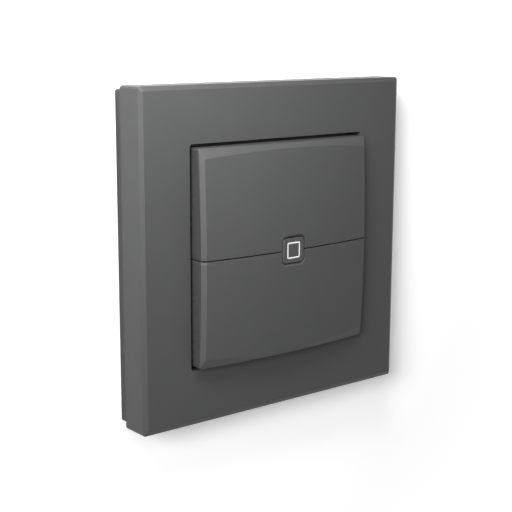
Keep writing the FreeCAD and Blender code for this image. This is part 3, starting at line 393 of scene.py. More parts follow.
def square_ring(bm, profile):
    """Draws a rounded square along a closed profile of such points."""
    edges = rounded_outline(bm, *profile[0])
    for start, end in zip(profile, profile[1:] + profile[:1]):
        edges, verts = drawn_on(bm, edges)
        for vert in verts:
            vert.co = (resized(vert.co.x, start, end), -end[1], resized(vert.co.z, start, end))
    bmesh.ops.remove_doubles(bm, verts=bm.verts, dist=TINY)
    bmesh.ops.recalc_face_normals(bm, faces=bm.faces)


def write_mesh(bm, mesh):
    """Writes a bmesh in millimetres to a mesh in metres."""
    bmesh.ops.scale(bm, vec=(MM, MM, MM), verts=bm.verts)
    bm.to_mesh(mesh)
    bm.free()


def reopened(piece):
    """A piece's mesh as a bmesh in millimetres, for more shapes to be added."""
    bm = bmesh.new()
    bm.from_mesh(piece.data)
    bmesh.ops.scale(bm, vec=(1 / MM, 1 / MM, 1 / MM), verts=bm.verts)
    return bm


def new_object(name, data):
    """Puts a mesh, a lamp or the camera into the scene."""
    made = bpy.data.objects.new(name, data)
    bpy.context.scene.collection.objects.link(made)
    return made


def mesh_object(name, bm):
    """Turns a bmesh in millimetres into an object in metres that sits at the origin."""
    mesh = bpy.data.meshes.new(name)
    write_mesh(bm, mesh)
    return new_object(name, mesh)


def combine(target, tool, operation):
    """Adds or cuts one closed shape with another, and keeps only the result."""
    step = target.modifiers.new(operation, "BOOLEAN")
    step.operation = operation
    step.solver = "EXACT"
    step.object = tool
    bpy.context.view_layer.update()
    shapes = bpy.context.evaluated_depsgraph_get()
    result = bpy.data.meshes.new_from_object(target.evaluated_get(shapes))
    result.name = target.name
    target.modifiers.clear()
    old, target.data = target.data, result
    bpy.data.meshes.remove(old)
    bpy.data.objects.remove(tool)


def finish_piece(piece, material, body, slot, *nodes):
    """Gives a new piece its finish, its body and the nodes it stands for."""
    large_faces_lead = 100
    piece.data.materials.clear()
    piece.data.materials.append(material)
    piece.data.shade_smooth()
    shading = piece.modifiers.new("even shading", "WEIGHTED_NORMAL")
    shading.weight = large_faces_lead
    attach(piece, body)
    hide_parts(*nodes)


# Materials
class Surface:
    """A new material and its shader, with patterns in the object's own millimetres."""

    def __init__(self, name):
        self.material = bpy.data.materials.new(name)
        self.material.use_nodes = True
        tree = self.material.node_tree
        self.nodes, self.links = tree.nodes, tree.links
        self.shader = self.nodes["Principled BSDF"]
        place = self.nodes.new("ShaderNodeTexCoord")
        scale = self.nodes.new("ShaderNodeMapping")
        scale.inputs["Scale"].default_value = (1 / MM, 1 / MM, 1 / MM)
        self.links.new(place.outputs["Object"], scale.inputs["Vector"])
        self.space = scale.outputs["Vector"]

    def noise(self, size, detail=2.0, space=None):
        """Noise whose spots are about so many millimetres across."""
        made = self.nodes.new("ShaderNodeTexNoise")
        made.inputs["Scale"].default_value = 1 / size
        made.inputs["Detail"].default_value = detail
        self.links.new(space or self.space, made.inputs["Vector"])
        return made.outputs["Fac"]

    def mapped(self, value, low, high):
        """Carries a noise over to a range of values."""
        made = self.nodes.new("ShaderNodeMapRange")
        made.inputs["From Min"].default_value = NOISE_LOW
        made.inputs["From Max"].default_value = NOISE_HIGH
        made.inputs["To Min"].default_value = low
        made.inputs["To Max"].default_value = high
        self.links.new(value, made.inputs["Value"])
        return made.outputs["Result"]

    def blend(self, value, low_colour, high_colour):
        """Goes from one colour to the other as the value goes from 0 to 1."""
        made = self.nodes.new("ShaderNodeMix")
        made.data_type = "RGBA"
        self.links.new(value, made.inputs["Factor"])
        made.inputs["A"].default_value = (*low_colour, 1)
        made.inputs["B"].default_value = (*high_colour, 1)
        return made.outputs["Result"]

    def tinted(self, value, colour, contrast):
        """The colour, a little darker or lighter where the noise is low or high."""
        darker = [c * (1 - contrast) for c in colour]
        lighter = [min(1.0, c * (1 + contrast)) for c in colour]
        return self.blend(self.mapped(value, 0.0, 1.0), darker, lighter)

    def bumped(self, value, depth):
        """Relief of so many metres from low to high."""
        made = self.nodes.new("ShaderNodeBump")
        made.inputs["Distance"].default_value = depth
        made.inputs["Strength"].default_value = 1.0
        self.links.new(value, made.inputs["Height"])
        return made.outputs["Normal"]

    def join(self, tone, gloss, relief=None):
        """Gives the shader its colour, its roughness and its relief."""
        self.links.new(tone, self.shader.inputs["Base Color"])
        self.links.new(gloss, self.shader.inputs["Roughness"])
        if relief:
            self.links.new(relief, self.shader.inputs["Normal"])

    def constant(self, socket, value):
        """Sets a value that is the same all over."""
        self.shader.inputs[socket].default_value = value


def moulded_plastic(name, colour, roughness, grain, depth, sheen=0.5):
    """Plastic from a spark-eroded mould: fine grain, with faint clouds in tone and sheen."""
    cloud_size, cloud_contrast = 9.0, 0.02
    patch_size, patch_change = 3.0, 0.015
    surface = Surface(name)
    tone = surface.tinted(surface.noise(cloud_size, detail=3.0), colour, cloud_contrast)
    patches = surface.noise(patch_size)
    gloss = surface.mapped(patches, roughness - patch_change, roughness + patch_change)
    surface.join(tone, gloss, surface.bumped(surface.noise(grain, detail=3.0), depth))
    surface.constant("Specular IOR Level", sheen)
    return surface.material


def anthracite(name, colour):
    """The switch's own plastic, in one of its tones."""
    finish = bpy.context.scene.switch_plastic
    grain = finish.grain / MM
    return moulded_plastic(name, colour, finish.roughness, grain, finish.grain_depth, finish.sheen)


def drawn_steel(name, colour, roughness, along="x"):
    """Sheet steel with fine drawing lines along one way."""
    line_width, squeeze, line_depth = 0.12, 0.06, 0.002 * MM
    line_contrast, gloss_change = 0.08, 0.07
    surface = Surface(name)
    stretch = surface.nodes.new("ShaderNodeMapping")
    stretch.inputs["Scale"].default_value = {"x": (squeeze, 1, 1), "z": (1, 1, squeeze)}[along]
    surface.links.new(surface.space, stretch.inputs["Vector"])
    lines = surface.noise(line_width, detail=3.0, space=stretch.outputs["Vector"])
    tone = surface.tinted(lines, colour, line_contrast)
    gloss = surface.mapped(lines, roughness - gloss_change, roughness + gloss_change)
    surface.join(tone, gloss, surface.bumped(lines, line_depth))
    surface.constant("Metallic", 1.0)
    return surface.material


def turned_steel(name, colour, roughness):
    """The coin cell's can: nickelled steel with faint rings about its middle."""
    ring_depth, gloss_change = 0.001 * MM, 0.05
    stain_size, stain_contrast = 2.0, 0.05
    surface = Surface(name)
    wave = surface.nodes.new("ShaderNodeTexWave")
    wave.wave_type = "RINGS"
    wave.rings_direction = "Y"
    wave.inputs["Scale"].default_value = 3.0
    wave.inputs["Distortion"].default_value = 0.6
    surface.links.new(surface.space, wave.inputs["Vector"])
    rings = wave.outputs["Fac"]
    tone = surface.tinted(surface.noise(stain_size), colour, stain_contrast)
    gloss = surface.mapped(rings, roughness - gloss_change, roughness + gloss_change)
    surface.join(tone, gloss, surface.bumped(rings, ring_depth))
    surface.constant("Metallic", 1.0)
    return surface.material


def printed_board(name, colour):
    """Solder mask over copper: the tracks show as slightly raised, lighter paths."""
    over_copper, track_height = (2.2, 1.7, 1.6), 0.02 * MM
    patch_size, glossy, dull = 1.5, 0.3, 0.38
    surface = Surface(name)
    apart = surface.nodes.new("ShaderNodeSeparateXYZ")
    surface.links.new(surface.space, apart.inputs["Vector"])
    plane = surface.nodes.new("ShaderNodeCombineXYZ")
    surface.links.new(apart.outputs["X"], plane.inputs["X"])
    surface.links.new(apart.outputs["Z"], plane.inputs["Y"])
    tracks = surface.nodes.new("ShaderNodeTexBrick")
    tracks.inputs["Scale"].default_value = 0.42
    tracks.inputs["Mortar Size"].default_value = 0.045
    tracks.inputs["Mortar Smooth"].default_value = 0.1
    tracks.inputs["Brick Width"].default_value = 1.3
    tracks.inputs["Row Height"].default_value = 0.45
    tracks.offset = 0.37
    surface.links.new(plane.outputs["Vector"], tracks.inputs["Vector"])
    tracks = tracks.outputs["Fac"]
    lighter = [c * more for c, more in zip(colour, over_copper)]
    gloss = surface.mapped(surface.noise(patch_size), glossy, dull)
    relief = surface.bumped(tracks, track_height)
    surface.join(surface.blend(tracks, colour, lighter), gloss, relief)
    return surface.material


def fired_ceramic(name, colour):
    """The tan ceramic of chip capacitors, finely speckled."""
    speckle_size, speckle_contrast, speckle_depth = 0.15, 0.12, 0.004 * MM
    glossy, dull = 0.5, 0.65
    surface = Surface(name)
    speckle = surface.noise(speckle_size, detail=4.0)
    tone = surface.tinted(speckle, colour, speckle_contrast)
    gloss = surface.mapped(speckle, glossy, dull)
    surface.join(tone, gloss, surface.bumped(speckle, speckle_depth))
    return surface.material


def clear_resin(name, colour):
    """The status light's cast resin, slightly cloudy."""
    cloud_size, cloud_contrast, clearness = 0.4, 0.06, 0.5
    glossy, dull = 0.12, 0.2
    surface = Surface(name)
    clouds = surface.noise(cloud_size, detail=3.0)
    tone = surface.tinted(clouds, colour, cloud_contrast)
    surface.join(tone, surface.mapped(clouds, glossy, dull))
    surface.constant("Transmission Weight", clearness)
    return surface.material


def dress_node(node, material):
    """A CAD node keeps its shape and gets a better material."""
    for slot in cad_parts[node].material_slots:
        slot.material = material


# Cover frame
class SWITCH_OT_cover_frame(bpy.types.Operator):
    """Model the bevelled cover frame with its window, collar, ribs and snap ledges"""

    bl_idname = "switch.cover_frame"
    bl_label = "Cover Frame"

    def execute(self, context):
        shape, finish = context.scene.switch_frame, context.scene.switch_plastic
        half = half_width("cover_frame")
        front, back = front_level("cover_frame"), back_level("cover_frame")
        bevel, drop = shape.bevel_width / MM, shape.bevel_depth / MM
        window, wall = shape.window / 2 / MM, shape.wall / MM
        inside = front - shape.front / MM
        collar_wall, collar_depth = 1.3, 5.0
        collar, collar_back = window + collar_wall, front - collar_depth
        corner, window_corner = shape.corner / MM, shape.window_corner / MM
        bevel_corner, collar_corner = corner / 3, window_corner + collar_wall
        bm = bmesh.new()
        profile = [
            (half, back, corner),
            (half, front - drop, corner),
            (half - bevel, front, bevel_corner),
            (window, front, window_corner),
            (window, collar_back, window_corner),
            (collar, collar_back, collar_corner),
            (collar, inside, collar_corner),
            (half - wall, inside, corner),
            (half - wall, back, corner),
        ]
        square_ring(bm, softened(profile, shape.edge / MM))
        self.add_ribs(bm, collar, half - wall, inside)
        piece = mesh_object("frame_shell", bm)
        material = anthracite("anthracite frame", finish.frame_colour)
        finish_piece(piece, material, "switch", "anthracite_frame", "cover_frame")
        return {"FINISHED"}

    def add_ribs(self, bm, collar, wall, inside):
        """On each side, ribs behind the front wall and the ledge for a hook of the wall plate."""
        rib_places, half_rib, rib_height = (-24.9, -8.3, 8.3, 24.9), 0.5, 2.0
        rib_foot, rib_top = inside - rib_height, inside + OVERLAP
        half_ledge, ledge_back, ledge_front, ledge_reach = 6.0, 5.2, 5.9, 0.7
        ledge_tip, root = wall - ledge_reach, wall + OVERLAP
        for side in range(4):
            made = []
            for place in rib_places:
                left, right = place - half_rib, place + half_rib
                made += box_mesh(bm, left, right, rib_foot, rib_top, collar - OVERLAP, root)
            made += box_mesh(bm, -half_ledge, half_ledge, ledge_back, ledge_front, ledge_tip, root)
            turned(bm, made, side * QUARTER, "Y")


# Keys
class BowedFront:
    """Levels of the keys' bowed front, in millimetres."""

    def __init__(self, shape, half, apex):
        self.half = half
        self.apex = apex
        self.across = shape.bow_across / MM
        self.up = shape.bow_upright / MM
        self.chamfer = shape.chamfer / MM
        self.middle = shape.bevel_middle / MM
        self.end = shape.bevel_end / MM

    def bow(self, x, z, drop=0.0):
        """The double bow with its side chamfers, lowered by a drop."""
        flat = self.half - self.chamfer
        inner, past_flat = min(abs(x), flat), max(0.0, abs(x) - flat)
        level = self.apex - self.across + math.sqrt(self.across**2 - inner**2) - past_flat
        reach = self.up - (self.apex - level)
        return self.apex - self.up + math.sqrt(reach**2 - z**2) - drop

    def bevel_height(self, x):
        """The bevel's own height, which grows from the middle to the corners."""
        return self.middle + (self.end - self.middle) * (x / self.half) ** 2

    def bevel(self, x, z):
        """The arched bevel along the outer edge."""
        height = self.bevel_height(x)
        inner = self.half - height
        side = x * x / 2 / self.across
        top = self.apex - side - inner * inner / 2 / self.up
        foot = self.apex - side - self.half**2 / 2 / self.up - self.chamfer
        return top + (foot - top) * (abs(z) - inner) / height

    def level(self, x, z):
        """The front as it stands: the bow, cut back by the arched bevel."""
        if abs(z) <= self.half - self.bevel_height(x):
            return self.bow(x, z)
        return min(self.bow(x, z), self.bevel(x, z))


def spread(index, count, stops):
    """Shares out a row of points over stops of (cells, value), evenly between them."""
    cell = index * sum(cells for cells, value in stops[1:]) / count
    for (_, start), (cells, end) in zip(stops, stops[1:]):
        if cell <= cells:
            return start + (end - start) * cell / cells
        cell -= cells
    return stops[-1][1]


def key_grid(bm, front, shape, near):
    """The front of the upper key: a grid along the chamfers and the arched bevel."""
    edge_cells, corner = 6, shape.corner / MM
    columns, rows = shape.columns + 2 * edge_cells, shape.rows + edge_cells
    made = bmesh.ops.create_grid(bm, x_segments=columns, y_segments=rows, size=0.5)["verts"]
    half, flat = front.half, front.half - front.chamfer
    for vert in made:
        column, row = round((vert.co.x + 0.5) * columns), round((vert.co.y + 0.5) * rows)
        across = [(0, -half), (edge_cells, -flat), (shape.columns, flat), (edge_cells, half)]
        x = spread(column, columns, across)
        inner = half - front.bevel_height(x)
        z = spread(row, rows, [(0, near), (shape.rows, inner), (edge_cells, half)])
        centre = Vector((math.copysign(half - corner, x), half - corner))
        out = Vector((x, z)) - centre
        if out.x * centre.x > 0 and out.y > 0 and out.length > corner:
            x, z = centre + out.normalized() * corner
        vert.co = (x, -front.level(x, z), z)


def open_edges(bm):
    """The edges that have a face on one side only."""
    return [e for e in bm.edges if e.is_boundary]


def key_shell(bm, front, shape, near, skirt):
    """The front, its side walls and the hollow behind, as one closed wall."""
    columns, rows, near_share = 24, 12, 0.8
    bevel_spare, chamfer_spare = 0.35, 1.2  # they keep the skin whole behind the edges
    key_grid(bm, front, shape, near)
    outer_rim = drawn_back(bm, open_edges(bm), skirt)
    wall, thickness = shape.wall / MM, shape.skin / MM + bevel_spare
    lining = bmesh.ops.create_grid(bm, x_segments=columns, y_segments=rows, size=0.5)["verts"]
    inner, low = front.half - wall, near + wall * near_share
    no_chamfer = 1 - chamfer_spare / front.half
    for vert in lining:
        x = vert.co.x * 2 * inner
        z = low + (vert.co.y + 0.5) * (inner - low)
        vert.co = (x, -front.bow(x * no_chamfer, 0.0, thickness), z)
    faces = dict.fromkeys(face for vert in lining for face in vert.link_faces)
    bmesh.ops.reverse_faces(bm, faces=list(faces))
    lining = set(lining)
    inner_rim = drawn_back(bm, [e for e in open_edges(bm) if e.verts[0] in lining], skirt)
    bmesh.ops.bridge_loops(bm, edges=outer_rim + inner_rim)
    bmesh.ops.recalc_face_normals(bm, faces=bm.faces)


class SWITCH_OT_keys(bpy.types.Operator):
    """Model the two keys with their bowed fronts, arched bevels, axles, hooks and ribs"""

    bl_idname = "switch.keys"
    bl_label = "Upper and Lower Key"

    def execute(self, context):
        finish = context.scene.switch_plastic
        material = anthracite("anthracite keys", finish.key_colour)
        caps = (("upper_key_cap", "upper_key", 1), ("lower_key_cap", "lower_key", -1))
        for name, node, way in caps:
            piece = self.model(context.scene, name, way)
            finish_piece(piece, material, node, "anthracite_keys", node)
        return {"FINISHED"}

    def model(self, scene, name, way):
        """The upper key, or its mirror image below where the way is -1."""
        shape, stop = scene.switch_keys, scene.switch_stop
        half, apex = half_width("upper_key"), front_level("upper_key")
        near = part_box("upper_key")[0][2] / MM
        skirt, inner_skirt = 9.9, 13.4
        notch_wall, notch_skin = 0.9, 0.9
        relief_wall, relief_height = 1.5, 1.7
        soft_edge, sharp_turn = 0.06, 16.0
        front = BowedFront(shape, half, apex)
        gap = stop.gap / MM
        half_x = stop.width / 2 / MM + gap
        half_z = half_height("stop_key") + gap

        bm = bmesh.new()
        key_shell(bm, front, shape, near, skirt)
        crests = [e for e in sharp_edges(bm, sharp_turn) if self.on_front(e, front)]
        round_edges(bm, crests, soft_edge, EDGE_STEPS)
        piece = mesh_object(name, bm)

        block, side, top = bmesh.new(), half_x + notch_wall, half_z + notch_wall
        box_mesh(block, -side, side, inner_skirt, apex - notch_skin, near, top)
        combine(piece, mesh_object("notch wall", block), "UNION")
        cut, side, top = bmesh.new(), half - relief_wall, near + relief_height
        box_mesh(cut, -side, side, skirt - PAST, inner_skirt, near - PAST, top)
        combine(piece, mesh_object("relief", cut), "DIFFERENCE")
        cut = bmesh.new()
        rounded_slab(cut, half_x, half_z, skirt, apex + PAST, stop.corner / MM + gap)
        combine(piece, mesh_object("notch", cut), "DIFFERENCE")

        bm = reopened(piece)
        self.add_mechanism(bm, apex)
        if way < 0:
            bmesh.ops.scale(bm, vec=(1, 1, -1), verts=bm.verts)
            bmesh.ops.reverse_faces(bm, faces=bm.faces)
        write_mesh(bm, piece.data)
        return piece

    def on_front(self, edge, front):
        """True for an edge that lies in the front and not behind it."""
        slack = 0.05
        return all(-v.co.y > front.level(v.co.x, v.co.z) - slack for v in edge.verts)

    def add_mechanism(self, bm, apex):
        """Stub axles, snap hooks, the post over the push switch and stiffening ribs."""
        half_axle, axle_radius = 1.55, 1.0
        axle_side, axle_level, axle_height = 23.95, 11.2, 3.0
        hook_side, half_hook = 12, 2
        hook_foot, hook_top, nose_top = 7.19, apex - 2.1, 7.94
        hook_near, hook_far, nose_tip, lead_in = 23.4, 24.6, 25.3, 0.45
        nose_middle = (hook_foot + nose_top) / 2
        rib_sides, half_rib = (7.5, 17.0), 0.5
        rib_foot, rib_top, rib_near, rib_far = 13.2, 15.2, 6.4, 25.4
        post_height, post_radius, post_top = 15.0, 1.7, apex - 1.5
        for across in (-1, 1):
            axle = post_mesh(bm, 0, 0, -half_axle, half_axle, axle_radius)
            turned(bm, axle, QUARTER, "Z")
            place = (axle_side * across, -axle_level, axle_height)
            bmesh.ops.translate(bm, vec=place, verts=axle)
            left, right = hook_side * across - half_hook, hook_side * across + half_hook
            box_mesh(bm, left, right, hook_foot, hook_top, hook_near, hook_far)
            nose = box_mesh(bm, left, right, hook_foot, nose_top, hook_far - OVERLAP, nose_tip)
            for vert in nose:
                if -vert.co.y < nose_middle and vert.co.z > hook_far:
                    vert.co += Vector((0, -lead_in, 0))
            for side in rib_sides:
                left, right = side * across - half_rib, side * across + half_rib
                box_mesh(bm, left, right, rib_foot, rib_top, rib_near, rib_far)
        post_mesh(bm, 0, post_height, PLUNGER_REACH, post_top, post_radius)


# Stop key
class SWITCH_OT_stop_key(bpy.types.Operator):
    """Model the small stop key with its groove, hollow, post and snap legs"""

    bl_idname = "switch.stop_key"
    bl_label = "Stop Key"

    def execute(self, context):
        shape, finish = context.scene.switch_stop, context.scene.switch_plastic
        half_x, half_z = shape.width / 2 / MM, half_height("stop_key")
        foot, skirt, apex = back_level("stop_key"), 12.2, front_level("stop_key")
        wall, skin, rim_steps, groove_past = 0.8, 1.6, 3, 0.5
        post_radius, post_root, leg_root = 1.2, 0.3, 0.5
        leg, half_leg, lug_height = 0.7, 1.0, 0.6
        outline = shape.outline / 2 / MM
        bm = bmesh.new()
        rounded_slab(bm, half_x, half_z, skirt, apex, shape.corner / MM)
        rim = [e for e in bm.edges if all(abs(v.co.y + apex) < TINY for v in e.verts)]
        round_edges(bm, rim, shape.edge / MM, rim_steps)
        piece = mesh_object("stop_key_cap", bm)
        hollow, side, top = bmesh.new(), half_x - wall, half_z - wall
        box_mesh(hollow, -side, side, skirt - PAST, apex - skin, -top, top)
        combine(piece, mesh_object("hollow", hollow), "DIFFERENCE")
        groove = bmesh.new()
        floor = apex - shape.inlay / MM
        outline_ring(groove, outline, shape.line / MM, floor, apex + groove_past)
        combine(piece, mesh_object("groove", groove), "DIFFERENCE")
        bm = reopened(piece)
        post_mesh(bm, 0, 0, PLUNGER_REACH, apex - skin + post_root, post_radius)
        lug = half_width("stop_key")
        for across in (-1, 1):
            left, right = sorted(((half_x - leg) * across, half_x * across))
            box_mesh(bm, left, right, foot, skirt + leg_root, -half_leg, half_leg)
            left, right = sorted(((half_x - OVERLAP) * across, lug * across))
            box_mesh(bm, left, right, foot, foot + lug_height, -half_leg, half_leg)
        write_mesh(bm, piece.data)
        material = anthracite("anthracite stop key", finish.key_colour)
        finish_piece(piece, material, "stop_key", "anthracite_keys", "stop_key")
        return {"FINISHED"}


def outline_ring(bm, half, line, level0, level1):
    """A square outline whose corners are rounded in step with its line."""
    outer_corner, inner_corner = 1.2 * line, 0.5 * line
    hole = half - line
    profile = [
        (half, level0, outer_corner),
        (half, level1, outer_corner),
        (hole, level1, inner_corner),
        (hole, level0, inner_corner),
    ]
    square_ring(bm, profile)


class SWITCH_OT_stop_outline(bpy.types.Operator):
    """Model the white square outline that lies flush in the stop key"""

    bl_idname = "switch.stop_outline"
    bl_label = "Square Outline"

    def execute(self, context):
        shape, finish = context.scene.switch_stop, context.scene.switch_plastic
        front, outline = front_level("stop_symbol"), shape.outline / 2 / MM
        bm = bmesh.new()
        outline_ring(bm, outline, shape.line / MM, front - shape.inlay / MM, front)
        piece = mesh_object("stop_outline", bm)
        material = moulded_plastic(
            "white outline", finish.inlay_colour, roughness=0.5, grain=0.1, depth=0.003 * MM
        )
        finish_piece(piece, material, "stop_key", "white_inlay", "stop_symbol")
        return {"FINISHED"}


# Wall plate
class SWITCH_OT_wall_plate(bpy.types.Operator):
    """Give the wall plate its moulded finish"""

    bl_idname = "switch.wall_plate"
    bl_label = "Wall Plate"

    def execute(self, context):
        finish = context.scene.switch_plastic
        # The plate's darker colour is partly painted shade from the wall beside it.
        dress_node("wall_plate", anthracite("anthracite plate", finish.plate_colour_and_shade))
        return {"FINISHED"}


# Transmitter
class SWITCH_OT_transmitter(bpy.types.Operator):
    """Give the transmitter's housing, board, cell and components their finishes"""

    bl_idname = "switch.transmitter"
    bl_label = "Transmitter"

    def execute(self, context):
        self.dress_housing()
        self.dress_board()
        self.dress_push_switches()
        return {"FINISHED"}

    def dress_housing(self):
        """The two shells and the door, with the cell, its springs and the screws."""
        housing = moulded_plastic(
            "black housing", (0.02, 0.02, 0.021), roughness=0.5, grain=0.25, depth=0.01 * MM
        )
        for node in ("rear_housing", "carrier", "battery_door"):
            dress_node(node, housing)
        can = turned_steel("nickelled can", (0.62, 0.61, 0.59), roughness=0.3)
        dress_node("coin_cell", can)
        spring = drawn_steel("spring sheet", (0.66, 0.64, 0.6), roughness=0.28, along="z")
        dress_node("cell_spring_negative", spring)
        dress_node("cell_spring_positive", spring)
        screw = drawn_steel("blackened screw", (0.05, 0.05, 0.055), roughness=0.4)
        dress_node("housing_screws", screw)

    def dress_board(self):
        """The board and what is soldered to it."""
        tin = drawn_steel("tinned sheet", (0.58, 0.59, 0.6), roughness=0.32)
        dress_node("radio_shield", tin)
        dress_node("quartz_crystal", tin)
        copper = drawn_steel("copper strip", (0.62, 0.36, 0.22), roughness=0.35)
        dress_node("antenna_strip", copper)
        dress_node("circuit_board", printed_board("solder mask", (0.02, 0.12, 0.05)))
        epoxy = moulded_plastic(
            "chip epoxy", (0.015, 0.015, 0.016), roughness=0.55, grain=0.08, depth=0.004 * MM
        )
        dress_node("processor_chip", epoxy)
        dress_node("capacitors", fired_ceramic("chip ceramic", (0.45, 0.36, 0.25)))
        dress_node("status_led", clear_resin("light resin", (0.8, 0.78, 0.7)))

    def dress_push_switches(self):
        """The three push switches and their plungers."""
        case = moulded_plastic(
            "switch case", (0.03, 0.03, 0.03), roughness=0.45, grain=0.12, depth=0.004 * MM
        )
        stem = moulded_plastic(
            "switch stem", (0.6, 0.6, 0.58), roughness=0.4, grain=0.12, depth=0.004 * MM
        )
        for place in ("upper", "stop", "lower"):
            dress_node("switch_body_" + place, case)
            dress_node("plunger_" + place, stem)


# Studio
def softbox(name, place, aim, width, power):
    """A square soft light that looks at a point."""
    data = bpy.data.lights.new(name, "AREA")
    data.shape = "SQUARE"
    data.size = width
    data.energy = power
    lamp = new_object(name, data)
    lamp.location = place
    lamp.rotation_euler = (Vector(aim) - Vector(place)).to_track_quat("-Z", "Y").to_euler()


def look_only(nodes, links):
    """1 for rays that only look at a surface: from the camera, or by way of metal or glass."""
    rays = nodes.new("ShaderNodeLightPath")
    seen = rays.outputs["Is Camera Ray"]
    for kind in ("Is Glossy Ray", "Is Transmission Ray"):
        either = nodes.new("ShaderNodeMath")
        either.operation = "MAXIMUM"
        links.new(seen, either.inputs[0])
        links.new(rays.outputs[kind], either.inputs[1])
        seen = either.outputs["Value"]
    return seen


def wall_paint(name, glow, far_glow):
    """Matt white that looks pale and still takes shadows, and is open from behind; its glow is
    painted light, dim near the switch and brighter further out.
    """
    painted_light_start, painted_light_end = 0.09, 0.22  # metres from the middle of the switch, over which the painted light rises
    white = 0.9
    material = bpy.data.materials.new(name)
    material.use_nodes = True
    nodes, links = material.node_tree.nodes, material.node_tree.links
    nodes.remove(nodes["Principled BSDF"])
    output = nodes["Material Output"]
    paint = nodes.new("ShaderNodeBsdfDiffuse")
    paint.inputs["Color"].default_value = (white, white, white, 1)
    light = nodes.new("ShaderNodeEmission")
    place = nodes.new("ShaderNodeTexCoord")
    distance = nodes.new("ShaderNodeVectorMath")
    distance.operation = "LENGTH"
    links.new(place.outputs["Object"], distance.inputs[0])
    # Painted light: the glow rises from the near tone to the far tone with distance from the
    # switch, standing in for lamp light that falls off far away.
    tone = nodes.new("ShaderNodeMapRange")
    tone.inputs["From Min"].default_value = painted_light_start
    tone.inputs["From Max"].default_value = painted_light_end
    tone.inputs["To Min"].default_value = glow
    tone.inputs["To Max"].default_value = far_glow
    links.new(distance.outputs["Value"], tone.inputs["Value"])
    strength = nodes.new("ShaderNodeMath")
    strength.operation = "MULTIPLY"
    links.new(look_only(nodes, links), strength.inputs[0])
    links.new(tone.outputs["Result"], strength.inputs[1])
    links.new(strength.outputs["Value"], light.inputs["Strength"])
    both = nodes.new("ShaderNodeAddShader")
    links.new(paint.outputs["BSDF"], both.inputs[0])
    links.new(light.outputs["Emission"], both.inputs[1])
    side = nodes.new("ShaderNodeNewGeometry")
    clear = nodes.new("ShaderNodeBsdfTransparent")
    choose = nodes.new("ShaderNodeMixShader")
    links.new(side.outputs["Backfacing"], choose.inputs["Fac"])
    links.new(both.outputs["Shader"], choose.inputs[1])
    links.new(clear.outputs["BSDF"], choose.inputs[2])
    links.new(choose.outputs["Shader"], output.inputs["Surface"])
    return material


def backdrop(name, place, angle, width, height, material):
    """A plain sheet of the stage, turned about X, that throws neither shadow nor light."""
    bm = bmesh.new()
    bmesh.ops.create_grid(bm, x_segments=1, y_segments=1, size=0.5)
    bmesh.ops.scale(bm, vec=(width, height, 1), verts=bm.verts)
    turned(bm, bm.verts, angle, "X")
    bmesh.ops.translate(bm, vec=place, verts=bm.verts)
    mesh = bpy.data.meshes.new(name)
    bm.to_mesh(mesh)
    bm.free()
    mesh.materials.append(material)
    sheet = new_object(name, mesh)
    sheet.visible_diffuse = False
    sheet.visible_shadow = False


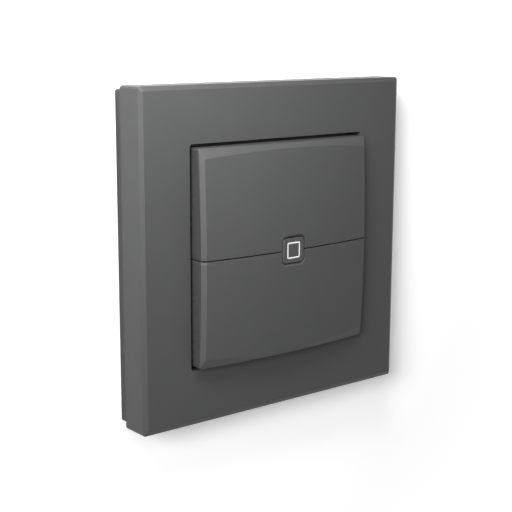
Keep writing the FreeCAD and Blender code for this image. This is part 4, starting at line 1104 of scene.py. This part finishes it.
class SWITCH_OT_studio(bpy.types.Operator):
    """Set the pale wall and floor, the soft lights and the camera"""

    bl_idname = "switch.studio"
    bl_label = "Studio"

    def execute(self, context):
        studio = context.scene.switch_studio
        self.set_stage(studio)
        self.place_lamps(studio)
        self.light_world(studio.ambient)
        self.place_camera(studio.lens)
        context.scene.view_settings.view_transform = "Standard"
        return {"FINISHED"}

    def set_stage(self, studio):
        """The wall close behind the switch, and the floor in front of it."""
        wall_size, wall_gap = 4.0, 0.0003
        floor_depth, floor_drop = 2.0, 0.4
        wall_place, floor_place = (0, wall_gap, 0), (0, -floor_depth / 2, -floor_drop)
        paint = wall_paint("wall paint", studio.wall_glow, studio.far_glow)
        backdrop("pale_wall", wall_place, QUARTER, wall_size, wall_size, paint)
        paint = wall_paint("floor paint", studio.wall_glow, studio.floor_glow)
        backdrop("pale_floor", floor_place, 0.0, wall_size, floor_depth, paint)

    def place_lamps(self, studio):
        """The soft lights: each one's name, place, aim, width and power."""
        middle = (0, 0, 0)
        lamps = (
            ("key light", (-0.035, -0.073, 0.084), (-0.02, -0.01, 0.035), 0.04, studio.key_power),
            ("top light", (-0.04, -0.06, 0.12), (-0.01, -0.01, 0.03), 0.08, studio.top_power),
            ("side light", (-0.13, -0.045, 0.11), (-0.04, -0.01, 0.03), 0.06, studio.side_power),
            ("edge light", (-0.085, -0.10, 0.02), (-0.041, -0.011, 0.02), 0.05, studio.edge_power),
            ("shadow light", (-1.06, -0.70, 0.42), middle, 0.42, studio.shadow_power),
            ("right fill", (0.45, -1.0, 0.10), middle, 0.7, studio.fill_power),
            ("back light", (0.8, 0.6, 0), middle, 0.3, studio.back_power),
        )
        for lamp in lamps:
            softbox(*lamp)

    def light_world(self, ambient):
        """Even white air, at full strength for rays that only look at it."""
        world = bpy.data.worlds.new("studio air")
        bpy.context.scene.world = world
        world.use_nodes = True
        nodes, links = world.node_tree.nodes, world.node_tree.links
        background = nodes["Background"]
        background.inputs["Color"].default_value = (1, 1, 1, 1)
        strength = nodes.new("ShaderNodeMapRange")
        strength.inputs["To Min"].default_value = ambient
        strength.inputs["To Max"].default_value = 1.0
        links.new(look_only(nodes, links), strength.inputs["Value"])
        links.new(strength.outputs["Result"], background.inputs["Strength"])

    def place_camera(self, lens):
        """The view from the left and a little above."""
        place = Vector((-0.18502, -0.23137, 0.05525))
        yaw, pitch, roll = math.radians(38.921), math.radians(11.342), math.radians(0.18)
        flat = math.cos(pitch)
        ahead = Vector((math.sin(yaw) * flat, math.cos(yaw) * flat, -math.sin(pitch)))
        right = Vector((math.cos(yaw), -math.sin(yaw), 0))
        up = right.cross(ahead)
        tilt = Matrix.Rotation(roll, 3, -ahead)
        right, up = tilt @ right, tilt @ up
        data = bpy.data.cameras.new("studio camera")
        data.sensor_width = 36.0
        data.lens = lens / MM
        data.clip_start = 0.01
        camera = new_object("studio camera", data)
        axes = Matrix((right, up, -ahead)).transposed().to_4x4()
        camera.matrix_world = Matrix.Translation(place) @ axes
        bpy.context.scene.camera = camera


class SWITCH_PT_panel(bpy.types.Panel):
    """Lists the steps that dress the switch"""

    bl_label = "Wall Switch"
    bl_idname = "SWITCH_PT_panel"
    bl_space_type = "VIEW_3D"
    bl_region_type = "UI"
    bl_category = "Wall Switch"

    def draw(self, context):
        for step in STEPS:
            self.layout.operator(step.bl_idname)


STEPS = (
    SWITCH_OT_cover_frame,
    SWITCH_OT_keys,
    SWITCH_OT_stop_key,
    SWITCH_OT_stop_outline,
    SWITCH_OT_wall_plate,
    SWITCH_OT_transmitter,
    SWITCH_OT_studio,
)
SETTINGS = {
    "switch_frame": FrameShape,
    "switch_keys": KeyShape,
    "switch_stop": StopShape,
    "switch_plastic": PlasticFinish,
    "switch_studio": Studio,
}


def register():
    """Adds the settings, the steps and the panel to Blender."""
    for group in SETTINGS.values():
        bpy.utils.register_class(group)
    for name, group in SETTINGS.items():
        setattr(bpy.types.Scene, name, PointerProperty(type=group))
    for step in STEPS:
        bpy.utils.register_class(step)
    bpy.utils.register_class(SWITCH_PT_panel)


def unregister():
    """Takes them out again, last one first."""
    bpy.utils.unregister_class(SWITCH_PT_panel)
    for step in reversed(STEPS):
        bpy.utils.unregister_class(step)
    for name, group in SETTINGS.items():
        delattr(bpy.types.Scene, name)
        bpy.utils.unregister_class(group)


def main():
    """Dresses the switch step by step."""
    register()
    bpy.ops.switch.cover_frame()
    bpy.ops.switch.keys()
    bpy.ops.switch.stop_key()
    bpy.ops.switch.stop_outline()
    bpy.ops.switch.wall_plate()
    bpy.ops.switch.transmitter()
    bpy.ops.switch.studio()


if __name__ == "__main__":
    main()
